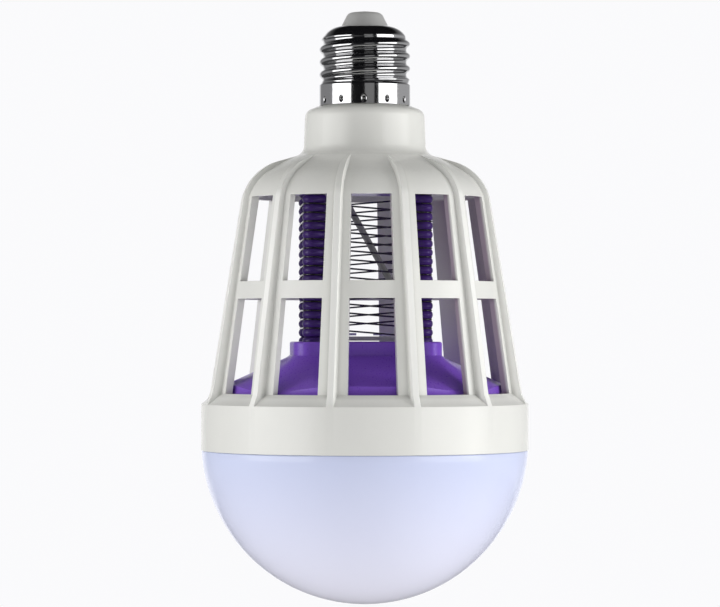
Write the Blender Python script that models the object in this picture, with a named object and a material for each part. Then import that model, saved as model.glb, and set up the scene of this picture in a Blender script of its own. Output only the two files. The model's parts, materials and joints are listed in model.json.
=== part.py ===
"""Insect killer light bulb: an LED lamp with a screw cap, a ribbed and windowed cage around a
wound wire grid, and an opal dome. It hangs cap up. The origin is the flat tip of the centre
contact, +Z points up along the lamp's axis, and one window of each row faces -Y.
All lengths are in metres and all angles in degrees."""

import math

import bmesh
import bpy
from mathutils import Matrix, Vector

# Fits
CLEARANCE = 0.0003
MERGE = 0.000001

# Centre contact and insulator
CONTACT_RADIUS = 0.0022
CONTACT_HEIGHT = 0.0006
CONTACT_PROUD = 0.0002
CONTACT_CHAMFER = 0.0003
SHANK_RADIUS = 0.0010
SHANK_LENGTH = 0.0070
NOSE_RADIUS = 0.0049
NOSE_DROP = 0.0011
LIP_DROP = 0.0043
LIP_RADIUS = 0.0065
INSULATOR_OVERLAP = 0.0009
INSULATOR_DISC_HEIGHT = 0.0022

# Screw shell, standard 26.4 mm cap thread, stamped in sheet
THREAD_DIAMETER = 0.0264
THREAD_DEPTH = 0.0011
THREAD_PITCH = 0.003629
THREAD_START_DROP = 0.0082
THREAD_LENGTH = 0.0128
THREAD_LEAD_IN = 0.0010
SHELL_SHEET = 0.00035
SHELL_SHOULDER_SHARE = 0.97
SKIRT_LENGTH = 0.0062
SHELL_SEGMENTS = 28
THREAD_STEPS = 5
CRIMP_COUNT = 12
CRIMP_TURN = -4.0
CRIMP_WIDTH = 0.0012
CRIMP_HEIGHT = 0.0018
CRIMP_DEPTH = 0.0002
CRIMP_RISE = 0.0016

# Housing: neck, shoulder, cage and ring in one moulding
WALL = 0.0022
SPIGOT_FIT = 0.00045
SPIGOT_WALL = 0.0018
SPIGOT_LENGTH = 0.0050
MOUTH_STEP = 0.0004
NECK_RADIUS = 0.0173
NECK_DRAFT = 0.0005
NECK_SHOULDER_DROP = 0.0014
NECK_ROUND = 0.0026
NECK_LENGTH = 0.0134
NECK_FILLET = 0.0030
SHOULDER_SLOPE = 16.0
SHOULDER_ROUND_SHARE = 0.77
CAGE_TAPER = 9.3
CAGE_SPREAD = 0.0106
UPPER_WINDOW_TOP = -0.0540
LINTEL_HEIGHT = 0.0012
UPPER_WINDOW_HEIGHT = 0.0243
CROSS_RING_HEIGHT = 0.0050
LOWER_WINDOW_HEIGHT = 0.0271
SILL_HEIGHT = 0.0032
RING_HEIGHT = 0.0134
RING_RADIUS = 0.0474
WINDOW_COUNT = 12
WINDOW_HALF_ANGLE = 9.4
RIB_TOP_HEIGHT = 0.0014
RIB_FOOT_HEIGHT = 0.0026
RIB_START_RUN = 0.0034
RIB_GROWTH_SHARE = 0.70
RIB_FOOT_WIDTH = 0.0025
RIB_CREST_WIDTH = 0.0014

# Diffuser dome
DOME_OVERHANG = 0.0001
DOME_CENTRE_RISE = 0.0029
DOME_WALL = 0.0016
DOME_LIP_HEIGHT = 0.0075
DOME_SEGMENTS = 36

# Grid posts and wires
POST_OFFSET = 0.0151
POST_RADIUS = 0.0036
GROOVE_DEPTH = 0.0008
GRID_PITCH = 0.00254
GRID_TOP_MARGIN = 0.0007
GRID_FOOT_MARGIN = 0.0008
WIRE_DIAMETER = 0.0005
POST_SEGMENTS = 8

# Top plate that closes the neck and holds the posts
TOP_PLATE_DROP = 0.0498
TOP_PLATE_THICKNESS = 0.0028
TOP_PLATE_CORNER = 0.0045
COLLAR_LENGTH = 0.0110
COLLAR_WALL = 0.0016

# Insect deck
DECK_RISE = 0.0148
DECK_MARGIN = 0.0062
DECK_CORNER = 0.0060
DECK_EDGE = 0.0006
FASCIA_HEIGHT = 0.0034
SKIRT_TOP_SLOPE_DROP = 0.0083
HIP_DROP = 0.0024
DECK_WALL = 0.0018
DECK_RIM_HEIGHT = 0.0024
DECK_SEGMENTS = 40
BOSS_RADIUS = 0.0030
BOSS_CIRCLE_SHARE = 0.79
BOSS_COUNT = 3

# Boards, plate, chips and screws
BOARD_THICKNESS = 0.0012
UV_BOARD_MARGIN = 0.0005
CHIP_WIDTH = 0.0028
CHIP_LENGTH = 0.0035
CHIP_HEIGHT = 0.0007
UV_CHIP_COUNT = 4
UV_CHIP_CIRCLE = 0.0070
HEAT_PLATE_THICKNESS = 0.0015
LED_BOARD_MARGIN = 0.0072
LED_RING_SHARES = ((0.87, 12), (0.42, 6))
SCREW_RADIUS = 0.0012
SCREW_HEAD_RADIUS = 0.0026
SCREW_HEAD_HEIGHT = 0.0016
SCREW_BITE = 0.0060
HV_BOARD_WIDTH = 0.0340
SPACER_RADIUS = 0.0025
SPACER_HEIGHT = 0.0030
SPACER_OFFSET = 0.0130
HV_CAPACITOR_WIDTH = 0.0110
HV_CAPACITOR_DEPTH = 0.0050
HV_CAPACITOR_HEIGHT = 0.0080
HV_CAPACITOR_SPACING = 0.0075
HV_CAPACITOR_COUNT = 3
DRIVER_MARGIN = 0.0007
DRIVER_HEIGHT = 0.0185
CAPACITOR_SHARE = 0.38
CAPACITOR_LENGTH = 0.0140
CHOKE_SHARE = 0.30
CHOKE_LENGTH = 0.0090
RECTIFIER_WIDTH = 0.0050
RECTIFIER_DEPTH = 0.0025
RESISTOR_RADIUS = 0.0017
RESISTOR_LENGTH = 0.0070

# Leads
CAP_LEAD_DIAMETER = 0.0012
FEED_LEAD_DIAMETER = 0.0019
FEED_LEAD_TOP_X = -0.0056
FEED_LEAD_FOOT_X = 0.0160
FEED_LEAD_STUB = 0.0012

# Heights and radii that follow from the sizes above
LIP_TOP = -LIP_DROP
THREAD_TOP = -THREAD_START_DROP
THREAD_BOTTOM = THREAD_TOP - THREAD_LENGTH
SHELL_BOTTOM = THREAD_BOTTOM - SKIRT_LENGTH
MOUTH_HEIGHT = SHELL_BOTTOM - CLEARANCE
NECK_BOTTOM = MOUTH_HEIGHT - NECK_LENGTH
UPPER_WINDOW_BOTTOM = UPPER_WINDOW_TOP - UPPER_WINDOW_HEIGHT
LOWER_WINDOW_TOP = UPPER_WINDOW_BOTTOM - CROSS_RING_HEIGHT
LOWER_WINDOW_BOTTOM = LOWER_WINDOW_TOP - LOWER_WINDOW_HEIGHT
RING_TOP = LOWER_WINDOW_BOTTOM - SILL_HEIGHT
RING_BOTTOM = RING_TOP - RING_HEIGHT
CAGE_TOP_RADIUS = RING_RADIUS - CAGE_SPREAD
SHOULDER_ROUND = (CAGE_TOP_RADIUS - NECK_RADIUS) * SHOULDER_ROUND_SHARE
DOME_RADIUS = RING_RADIUS + DOME_OVERHANG
DOME_CENTRE = RING_BOTTOM + DOME_CENTRE_RISE
DECK_TOP = LOWER_WINDOW_BOTTOM + DECK_RISE
DECK_HALF_WIDTH = POST_OFFSET + DECK_MARGIN
TOP_PLATE_TOP = -TOP_PLATE_DROP
TOP_PLATE_BOTTOM = TOP_PLATE_TOP - TOP_PLATE_THICKNESS
POST_TOP = TOP_PLATE_BOTTOM - CLEARANCE
POST_BOTTOM = DECK_TOP + CLEARANCE
GRID_TOP = POST_TOP - GRID_TOP_MARGIN
GROOVE_COUNT = int((GRID_TOP - POST_BOTTOM - GRID_FOOT_MARGIN) / GRID_PITCH) + 1
GROOVE_RADIUS = POST_RADIUS - GROOVE_DEPTH
FASCIA_BOTTOM = DECK_TOP - FASCIA_HEIGHT
SKIRT_BOTTOM = FASCIA_BOTTOM - SKIRT_TOP_SLOPE_DROP
SPIGOT_RADIUS = THREAD_DIAMETER / 2.0 - SHELL_SHEET - SPIGOT_FIT
MOUTH_RADIUS = THREAD_DIAMETER / 2.0 + MOUTH_STEP
COLLAR_RADIUS = NECK_RADIUS - WALL - CLEARANCE
COLLAR_BORE = COLLAR_RADIUS - COLLAR_WALL
DRIVER_WIDTH = 2.0 * (COLLAR_BORE - DRIVER_MARGIN)
CAPACITOR_RADIUS = COLLAR_BORE * CAPACITOR_SHARE
CHOKE_RADIUS = COLLAR_BORE * CHOKE_SHARE
BORE_RADIUS = RING_RADIUS - WALL
LED_BOARD_RADIUS = BORE_RADIUS - LED_BOARD_MARGIN
BOSS_CIRCLE = LED_BOARD_RADIUS * BOSS_CIRCLE_SHARE
DECK_SEAT_TOP = LOWER_WINDOW_BOTTOM - CLEARANCE
DECK_SEAT_BOTTOM = RING_TOP - WALL / 2 - CLEARANCE
DECK_BOTTOM = DECK_SEAT_BOTTOM - DECK_RIM_HEIGHT
HEAT_PLATE_TOP = DECK_BOTTOM - CLEARANCE
HEAT_PLATE_BOTTOM = HEAT_PLATE_TOP - HEAT_PLATE_THICKNESS
LED_BOARD_TOP = HEAT_PLATE_BOTTOM - CLEARANCE
LED_BOARD_BOTTOM = LED_BOARD_TOP - BOARD_THICKNESS


def remove_old_objects():
    for old in list(bpy.data.objects):
        bpy.data.objects.remove(old, do_unlink=True)


def finish_of(name, colour, roughness, metallic=0.0):
    """A plain Principled material."""
    material = bpy.data.materials.new(name)
    material.use_nodes = True
    shader = material.node_tree.nodes["Principled BSDF"]
    shader.inputs["Base Color"].default_value = (*colour, 1.0)
    shader.inputs["Roughness"].default_value = roughness
    shader.inputs["Metallic"].default_value = metallic
    return material


def add_object(name, data, material):
    piece = bpy.data.objects.new(name, data)
    piece.data.materials.append(material)
    bpy.context.scene.collection.objects.link(piece)
    return piece


def add_mesh(name, shape, material, smooth_angle=35.0):
    """Turns a bmesh into an object, shaded smooth below the given edge angle."""
    bmesh.ops.recalc_face_normals(shape, faces=shape.faces)
    mesh = bpy.data.meshes.new(name)
    shape.to_mesh(mesh)
    shape.free()
    mesh.shade_smooth()
    mesh.set_sharp_from_angle(angle=math.radians(smooth_angle))
    return add_object(name, mesh, material)


def cut(target, cutter, operation="DIFFERENCE"):
    """Cuts or joins a helper shape, which stays hidden, into the target."""
    cutter.hide_render = True
    cutter.display_type = "WIRE"
    boolean = target.modifiers.new(cutter.name, "BOOLEAN")
    boolean.operation = operation
    boolean.solver = "EXACT"
    boolean.object = cutter


def rounded(corners):
    """An outline through corners of (radius, height, fillet, steps), each fillet a true arc."""
    points = []
    for index, (radius, height, fillet, steps) in enumerate(corners):
        corner = Vector((radius, height))
        if fillet == 0.0:
            points.append(corner)
            continue
        before = (Vector(corners[index - 1][:2]) - corner).normalized()
        after = (Vector(corners[index + 1][:2]) - corner).normalized()
        half = before.angle(after) / 2.0
        centre = corner + (before + after).normalized() * (fillet / math.sin(half))
        start = corner + before * (fillet / math.tan(half)) - centre
        end = corner + after * (fillet / math.tan(half)) - centre
        turn = -start.angle_signed(end)
        for step in range(steps + 1):
            points.append(centre + Matrix.Rotation(turn * step / steps, 2) @ start)
    return points


def turned(outline, segments, closed):
    """Spins an outline in the XZ plane about Z. Open outlines start and end on the axis."""
    shape = bmesh.new()
    points = [shape.verts.new((point[0], 0.0, point[1])) for point in outline]
    edges = [shape.edges.new(pair) for pair in zip(points, points[1:])]
    if closed:
        edges.append(shape.edges.new((points[-1], points[0])))
    bmesh.ops.spin(shape, geom=points + edges, cent=(0, 0, 0), axis=(0, 0, 1),
                   angle=math.tau, steps=segments, use_merge=False)
    bmesh.ops.remove_doubles(shape, verts=shape.verts, dist=MERGE)
    return shape


def cylinder(radius, top, bottom, segments=16, centre=(0.0, 0.0)):
    shape = bmesh.new()
    place = Matrix.Translation((centre[0], centre[1], (top + bottom) / 2.0))
    bmesh.ops.create_cone(shape, cap_ends=True, segments=segments, radius1=radius,
                          radius2=radius, depth=top - bottom, matrix=place)
    return shape


def block(size, centre, turn=0.0):
    """A box of the given size, turned about Z round the lamp's axis."""
    shape = bmesh.new()
    place = Matrix.Rotation(turn, 4, "Z") @ Matrix.Translation(centre)
    bmesh.ops.create_cube(shape, size=1.0, matrix=place @ Matrix.Diagonal((*size, 1.0)))
    return shape


def rounded_square(half_width, corner, angle):
    """Radius of a square with rounded corners, at an angle about the axis."""
    fold = (angle + math.pi / 4.0) % (math.pi / 2.0) - math.pi / 4.0
    straight = half_width - corner
    if math.tan(abs(fold)) * half_width <= straight:
        return half_width / math.cos(fold)
    reach = straight * (math.cos(fold) + math.sin(abs(fold)))
    return reach + math.sqrt(reach * reach - 2.0 * straight * straight + corner * corner)


def loops_to_solid(loops):
    """Extrudes a closed loop of points from each loop to the next and caps both ends."""
    shape = bmesh.new()
    place = shape.verts.layers.int.new("place")
    points = [shape.verts.new(spot) for spot in loops[0]]
    for index, point in enumerate(points):
        point[place] = index
    first = [shape.edges.new(pair) for pair in zip(points, points[1:] + points[:1])]
    edges = first
    for loop in loops[1:]:
        made = bmesh.ops.extrude_edge_only(shape, edges=edges)["geom"]
        points = {item for item in made if isinstance(item, bmesh.types.BMVert)}
        for point in points:
            point.co = loop[point[place]]
        edges = [item for item in made
                 if isinstance(item, bmesh.types.BMEdge) and points.issuperset(item.verts)]
    bmesh.ops.holes_fill(shape, edges=first + edges)
    return shape


def make_centre_contact(material):
    head_foot = -CONTACT_HEIGHT
    outline = [(0.0, 0.0), (CONTACT_RADIUS - CONTACT_CHAMFER, 0.0),
               (CONTACT_RADIUS, -CONTACT_CHAMFER), (CONTACT_RADIUS, head_foot),
               (SHANK_RADIUS, head_foot), (SHANK_RADIUS, -SHANK_LENGTH), (0.0, -SHANK_LENGTH)]
    add_mesh("centre_contact", turned(outline, 20, closed=False), material)


def make_cap_insulator(material):
    top = -CONTACT_PROUD
    recess = CONTACT_RADIUS + CLEARANCE
    recess_floor = -CONTACT_HEIGHT - CLEARANCE
    hole = SHANK_RADIUS + CLEARANCE
    disc_top = LIP_TOP - SHELL_SHEET - CLEARANCE
    disc_bottom = disc_top - INSULATOR_DISC_HEIGHT
    nose = rounded([(recess, top, 0.0, 0), (NOSE_RADIUS, top, NOSE_DROP, 4),
                    (LIP_RADIUS, LIP_TOP, 0.0, 0)])
    disc = LIP_RADIUS + INSULATOR_OVERLAP
    outline = [(hole, recess_floor), (recess, recess_floor), *nose, (LIP_RADIUS, disc_top),
               (disc, disc_top), (disc, disc_bottom), (hole, disc_bottom)]
    add_mesh("cap_insulator", turned(outline, 24, closed=True), material)


def thread_wave(angle, height):
    """How far the rolled thread pushes the sheet out at a point of the shell."""
    depth = min(1.0, (THREAD_TOP - height) / THREAD_PITCH * 2.0,
                (height - THREAD_BOTTOM) / THREAD_PITCH * 2.0)
    if depth <= 0.0:
        return 0.0
    turn = angle / math.tau - (height + THREAD_LEAD_IN - THREAD_TOP) / THREAD_PITCH
    return depth * THREAD_DEPTH / 2.0 * math.cos(math.tau * turn)


def shell_outline(inset):
    """The shell's outer skin from lip to skirt edge, or its inner skin for an inset."""
    middle = (THREAD_DIAMETER - THREAD_DEPTH) / 2.0
    skirt = THREAD_DIAMETER / 2.0 - inset
    lip = LIP_RADIUS + CLEARANCE
    top = LIP_TOP - inset
    fillet = (middle - lip) * SHELL_SHOULDER_SHARE
    straight = middle - inset
    points = rounded([(lip, top, 0.0, 0), (straight, top, fillet - inset, 6),
                      (straight, THREAD_BOTTOM, 0.0, 0)])[:-1]
    arc_end = LIP_TOP - fillet
    length = arc_end - THREAD_BOTTOM
    rows = round(length / THREAD_PITCH * THREAD_STEPS)
    points += [Vector((straight, arc_end - length * row / rows)) for row in range(1, rows)]
    points += [Vector((skirt, THREAD_BOTTOM - SHELL_SHEET)), Vector((skirt, SHELL_BOTTOM))]
    return points


def make_screw_shell(material):
    outline = shell_outline(0.0) + shell_outline(SHELL_SHEET)[::-1]
    shape = turned(outline, SHELL_SEGMENTS, closed=True)
    for point in shape.verts:
        radius = math.hypot(point.co.x, point.co.y)
        pushed = radius + thread_wave(math.atan2(point.co.y, point.co.x), point.co.z)
        point.co.x *= pushed / radius
        point.co.y *= pushed / radius
    shell = add_mesh("screw_shell", shape, material, smooth_angle=60.0)
    punches = bmesh.new()
    reach = 2.0 * CRIMP_DEPTH
    for index in range(CRIMP_COUNT):
        turn = Matrix.Rotation(math.tau * index / CRIMP_COUNT + math.radians(CRIMP_TURN), 4, "Z")
        face = THREAD_DIAMETER / 2.0 * math.cos(math.pi / SHELL_SEGMENTS)
        side = Matrix.Translation((face, 0.0, SHELL_BOTTOM + CRIMP_RISE))
        size = Matrix.Diagonal((reach, CRIMP_WIDTH, CRIMP_HEIGHT, 1.0))
        lying = Matrix.Rotation(math.pi / 2.0, 4, "Y")
        bmesh.ops.create_cone(punches, cap_ends=True, segments=8, radius1=0.5, radius2=0.5,
                              depth=1.0, matrix=turn @ side @ size @ lying)
    cut(shell, add_mesh("crimp_punches", punches, material))


def cage_radius(height, inset):
    """Radius of the tapered cage at a height, measured inwards from the rib crests."""
    taper = math.radians(CAGE_TAPER)
    return CAGE_TOP_RADIUS + (UPPER_WINDOW_TOP - height) * math.tan(taper) - inset / math.cos(taper)


def rib_height(height):
    """How far the ribs stand out: constant above the windows, growing down to the sill."""
    part = (UPPER_WINDOW_TOP - height) / (UPPER_WINDOW_TOP - LOWER_WINDOW_BOTTOM)
    return RIB_TOP_HEIGHT + (RIB_FOOT_HEIGHT - RIB_TOP_HEIGHT) * max(0.0, part)


def inner_radius(height):
    """Radius of the cage's inner wall at a height."""
    return cage_radius(height, rib_height(height) + WALL)


def shoulder_centre():
    """Centre of the arc that rounds every skin of the shoulder into the tapered cage."""
    slope = math.tan(math.radians(SHOULDER_SLOPE))
    drop = SHOULDER_ROUND / math.cos(math.radians(SHOULDER_SLOPE))
    taper = math.tan(math.radians(CAGE_TAPER))
    start = cage_radius(0.0, SHOULDER_ROUND)
    height = (NECK_BOTTOM - drop - slope * (start - NECK_RADIUS)) / (1.0 - slope * taper)
    return start - height * taper, height


def skin_radius(height, inset):
    """Radius of a skin of the cage at a height, on the shoulder's arc or on the taper."""
    centre_radius, centre_height = shoulder_centre()
    arc = SHOULDER_ROUND - inset
    rise = height - centre_height
    if rise > arc * math.sin(math.radians(CAGE_TAPER)):
        return centre_radius + math.sqrt(arc * arc - rise * rise)
    return cage_radius(height, inset)


def shoulder_arc(inset, steps=3):
    """Points of a skin from the end of the shoulder's slope down to the lintel."""
    centre_radius, centre_height = shoulder_centre()
    arc = SHOULDER_ROUND - inset
    lintel = (UPPER_WINDOW_TOP + LINTEL_HEIGHT - centre_height) / arc
    first = math.radians(90.0 - SHOULDER_SLOPE)
    last = max(math.radians(CAGE_TAPER), math.asin(lintel))
    angles = [first + (last - first) * step / steps for step in range(steps + 1)]
    return [Vector((centre_radius + arc * math.cos(angle), centre_height + arc * math.sin(angle)))
            for angle in angles]


def shoulder_point(radius, inset):
    """A point of the shoulder's straight slope, for a skin that lies under the rib crests."""
    slope = math.radians(SHOULDER_SLOPE)
    return radius, NECK_BOTTOM - (radius - NECK_RADIUS) * math.tan(slope) - inset / math.cos(slope)


def housing_outline(wall, ribbed):
    """One skin of the housing, top to bottom: the rib crests, the plain face between them, or
    the inner skin for a wall. Every skin has the same number of stations."""
    rib = 0.0 if ribbed else RIB_TOP_HEIGHT
    spigot = SPIGOT_RADIUS - (SPIGOT_WALL if wall else 0.0)
    neck = NECK_RADIUS - wall
    mouth_height = MOUTH_HEIGHT - wall
    arc = shoulder_arc(rib + wall)
    rib_start = NECK_RADIUS + RIB_START_RUN
    rib_full = rib_start + (arc[0].x - rib_start) * RIB_GROWTH_SHARE
    points = rounded([
        (spigot, MOUTH_HEIGHT + SPIGOT_LENGTH, 0.0, 0),
        (spigot, mouth_height, 0.0, 0),
        (MOUTH_RADIUS - wall, mouth_height, 0.0, 0),
        (neck, mouth_height - NECK_SHOULDER_DROP, NECK_ROUND - wall, 2),
        (*shoulder_point(neck + NECK_DRAFT, wall), NECK_FILLET + wall, 2),
        (*shoulder_point(rib_start, wall), 0.0, 0),
        (*shoulder_point(rib_full, rib + wall), 0.0, 0)])
    points += arc
    for height in (UPPER_WINDOW_TOP, UPPER_WINDOW_BOTTOM, LOWER_WINDOW_TOP, LOWER_WINDOW_BOTTOM):
        inset = wall if ribbed else wall + rib_height(height)
        points.append(Vector((skin_radius(height, inset), height)))
    ring = RING_RADIUS - wall
    points += [Vector((ring, RING_TOP - wall / 2.0)), Vector((ring, RING_BOTTOM))]
    return points


def housing_columns():
    """The columns of points in one sector: a kind, and an angle or a distance from the rib."""
    bar = 180.0 / WINDOW_COUNT - WINDOW_HALF_ANGLE
    return [("window", -180.0 / WINDOW_COUNT), ("wall", -bar), ("foot", -RIB_FOOT_WIDTH / 2.0),
            ("crest", -RIB_CREST_WIDTH / 2.0), ("crest", RIB_CREST_WIDTH / 2.0),
            ("foot", RIB_FOOT_WIDTH / 2.0), ("wall", bar)]


def place_column(kind, value, outline_point, rib_angle, plain):
    """A point of a column. The ribs keep their width; where there are none, their columns lie
    on the straight line from wall to wall, so that the faces there are flat."""
    radius, height = outline_point
    turn = Matrix.Rotation(rib_angle, 3, "Z")
    if kind in ("foot", "crest"):
        aside = value * min(1.0, radius / NECK_RADIUS)
        bar = math.radians(180.0 / WINDOW_COUNT - WINDOW_HALF_ANGLE)
        ahead = radius * math.cos(bar) if plain else math.sqrt(radius * radius - aside * aside)
        return turn @ Vector((ahead, aside, height))
    angle = math.radians(value)
    return turn @ Vector((radius * math.cos(angle), radius * math.sin(angle), height))


def make_cage_housing(material):
    """Spins the wall, gathers its columns into ribs and bars, leaves the windows out and
    draws the whole skin inwards to give the moulding its wall."""
    face = housing_outline(0.0, ribbed=False)
    crest = housing_outline(0.0, ribbed=True)
    inside = housing_outline(WALL, ribbed=False)
    ribless = [(out - flat).length < MERGE for out, flat in zip(crest, face)]
    columns = housing_columns()
    total = WINDOW_COUNT * len(columns)
    shape = bmesh.new()
    station_of = shape.verts.layers.int.new("station")
    inner_of = shape.verts.layers.int.new("inner")
    column_of = shape.verts.layers.int.new("column")
    points = []
    for station, (radius, height) in enumerate(face):
        point = shape.verts.new((radius, 0.0, height))
        point[station_of] = station
        points.append(point)
    edges = [shape.edges.new(pair) for pair in zip(points, points[1:])]
    bmesh.ops.spin(shape, geom=points + edges, cent=(0, 0, 0), axis=(0, 0, 1),
                   angle=math.tau, steps=total, use_merge=False)
    bmesh.ops.remove_doubles(shape, verts=shape.verts, dist=MERGE)
    for point in shape.verts:
        angle = math.atan2(point.co.y, point.co.x) % math.tau
        point[column_of] = round(angle / math.tau * total) % total

    window_rows = [len(face) - 6, len(face) - 4]
    holes = []
    for wall in shape.faces:
        top = min(point[station_of] for point in wall.verts)
        kinds = {columns[point[column_of] % len(columns)][0] for point in wall.verts}
        if top in window_rows and kinds == {"window", "wall"}:
            holes.append(wall)
    bmesh.ops.delete(shape, geom=holes, context="FACES")

    made = bmesh.ops.extrude_face_region(shape, geom=shape.faces[:])
    for item in made["geom"]:
        if isinstance(item, bmesh.types.BMVert):
            item[inner_of] = 1

    for point in shape.verts:
        sector, column = divmod(point[column_of], len(columns))
        kind, value = columns[column]
        skin = inside if point[inner_of] else (crest if kind == "crest" else face)
        rib_angle = math.tau * sector / WINDOW_COUNT + math.pi / WINDOW_COUNT
        station = point[station_of]
        point.co = place_column(kind, value, skin[station], rib_angle, ribless[station])

    spare = []
    for edge in shape.edges:
        first, second = edge.verts
        if first[column_of] != second[column_of] or first[inner_of] != second[inner_of]:
            continue
        on_rib = columns[first[column_of] % len(columns)][0] in ("foot", "crest")
        plain = ribless[first[station_of]] and ribless[second[station_of]]
        if on_rib and (first[inner_of] or plain):
            spare.append(edge)
    bmesh.ops.dissolve_edges(shape, edges=spare, use_verts=True)
    add_mesh("cage_housing", shape, material)


def make_diffuser_dome(material):
    rim = RING_BOTTOM - CLEARANCE
    lip_outer = BORE_RADIUS - CLEARANCE
    lip_inner = lip_outer - DOME_WALL
    lip_top = rim + DOME_LIP_HEIGHT
    steps = 7
    outer = []
    inner = []
    start = math.asin((DOME_CENTRE - rim) / DOME_RADIUS)
    inner_radius = DOME_RADIUS - DOME_WALL
    inner_start = math.acos(lip_inner / inner_radius)
    for step in range(steps + 1):
        angle = start + (math.pi / 2.0 - start) * step / steps
        outer.append((DOME_RADIUS * math.cos(angle), DOME_CENTRE - DOME_RADIUS * math.sin(angle)))
        angle = inner_start + (math.pi / 2.0 - inner_start) * step / steps
        inner.append((inner_radius * math.cos(angle), DOME_CENTRE - inner_radius * math.sin(angle)))
    outer[-1] = (0.0, outer[-1][1])
    inner[-1] = (0.0, inner[-1][1])
    outline = inner[::-1] + [(lip_inner, lip_top), (lip_outer, lip_top), (lip_outer, rim)] + outer
    add_mesh("diffuser_dome", turned(outline, DOME_SEGMENTS, closed=False), material)


def post_places():
    """The four posts in winding order, anticlockwise from the front right."""
    return [(POST_OFFSET, -POST_OFFSET), (POST_OFFSET, POST_OFFSET),
            (-POST_OFFSET, POST_OFFSET), (-POST_OFFSET, -POST_OFFSET)]


def make_grid_posts(material):
    for index, (x, y) in enumerate(post_places()):
        outline = [(0.0, POST_TOP), (POST_RADIUS, POST_TOP)]
        for row in range(GROOVE_COUNT):
            groove = GRID_TOP - GRID_PITCH * row
            outline += [(GROOVE_RADIUS, groove), (POST_RADIUS, groove - GRID_PITCH / 2.0)]
        outline[-1] = (POST_RADIUS, POST_BOTTOM)
        outline.append((0.0, POST_BOTTOM))
        post = add_mesh(f"grid_post_{index + 1}", turned(outline, POST_SEGMENTS, closed=False),
                        material)
        post.location = (x, y, 0.0)


def add_curve(name, route, diameter, material, resolution):
    """A round bar or lead along a route of points, with capped ends."""
    curve = bpy.data.curves.new(name, "CURVE")
    curve.dimensions = "3D"
    curve.bevel_depth = diameter / 2.0
    curve.bevel_resolution = resolution
    curve.use_fill_caps = True
    line = curve.splines.new("POLY")
    line.points.add(len(route) - 1)
    for point, place in zip(line.points, route):
        point.co = (*place, 1.0)
    return add_object(name, curve, material)


def winding(first_groove, bends):
    """A wire round the four posts: level in the grooves and at the sides, and falling by one
    groove at the front and the back."""
    bend_steps = 2
    half_bend = math.pi / 4.0
    reach = (GROOVE_RADIUS + CLEARANCE + WIRE_DIAMETER / 2.0) / math.cos(half_bend / bend_steps)
    route = []
    for bend in range(bends):
        x, y = post_places()[bend % 4]
        height = GRID_TOP - GRID_PITCH * (first_groove + bend // 2)
        outward = math.atan2(y, x)
        for step in range(bend_steps + 1):
            angle = outward - half_bend + 2.0 * half_bend * step / bend_steps
            route.append((x + reach * math.cos(angle), y + reach * math.sin(angle), height))
    return route


def make_grid_wires(live, neutral):
    """Two wires that take turns in the grooves. The live one ends in the last groove."""
    last = GROOVE_COUNT - 1
    add_curve("grid_wire_live", winding(0, 2 * last + 1), WIRE_DIAMETER, live, 0)
    add_curve("grid_wire_return", winding(1, 2 * last - 3), WIRE_DIAMETER, neutral, 0)


def make_top_plate(material):
    """A flat plate over the post tops, with a collar that fits up into the neck."""
    half_width = POST_OFFSET + TOP_PLATE_CORNER
    angles = [math.tau * step / DECK_SEGMENTS for step in range(DECK_SEGMENTS)]

    def square(height):
        radii = [rounded_square(half_width, TOP_PLATE_CORNER, angle) for angle in angles]
        return [(r * math.cos(a), r * math.sin(a), height) for r, a in zip(radii, angles)]

    def circle(radius, height):
        return [(radius * math.cos(a), radius * math.sin(a), height) for a in angles]

    top = TOP_PLATE_TOP
    collar_top = top + COLLAR_LENGTH
    shape = loops_to_solid([square(TOP_PLATE_BOTTOM), square(top), circle(COLLAR_RADIUS, top),
                            circle(COLLAR_RADIUS, collar_top), circle(COLLAR_BORE, collar_top),
                            circle(COLLAR_BORE, top)])
    add_mesh("grid_top_plate", shape, material)


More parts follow.
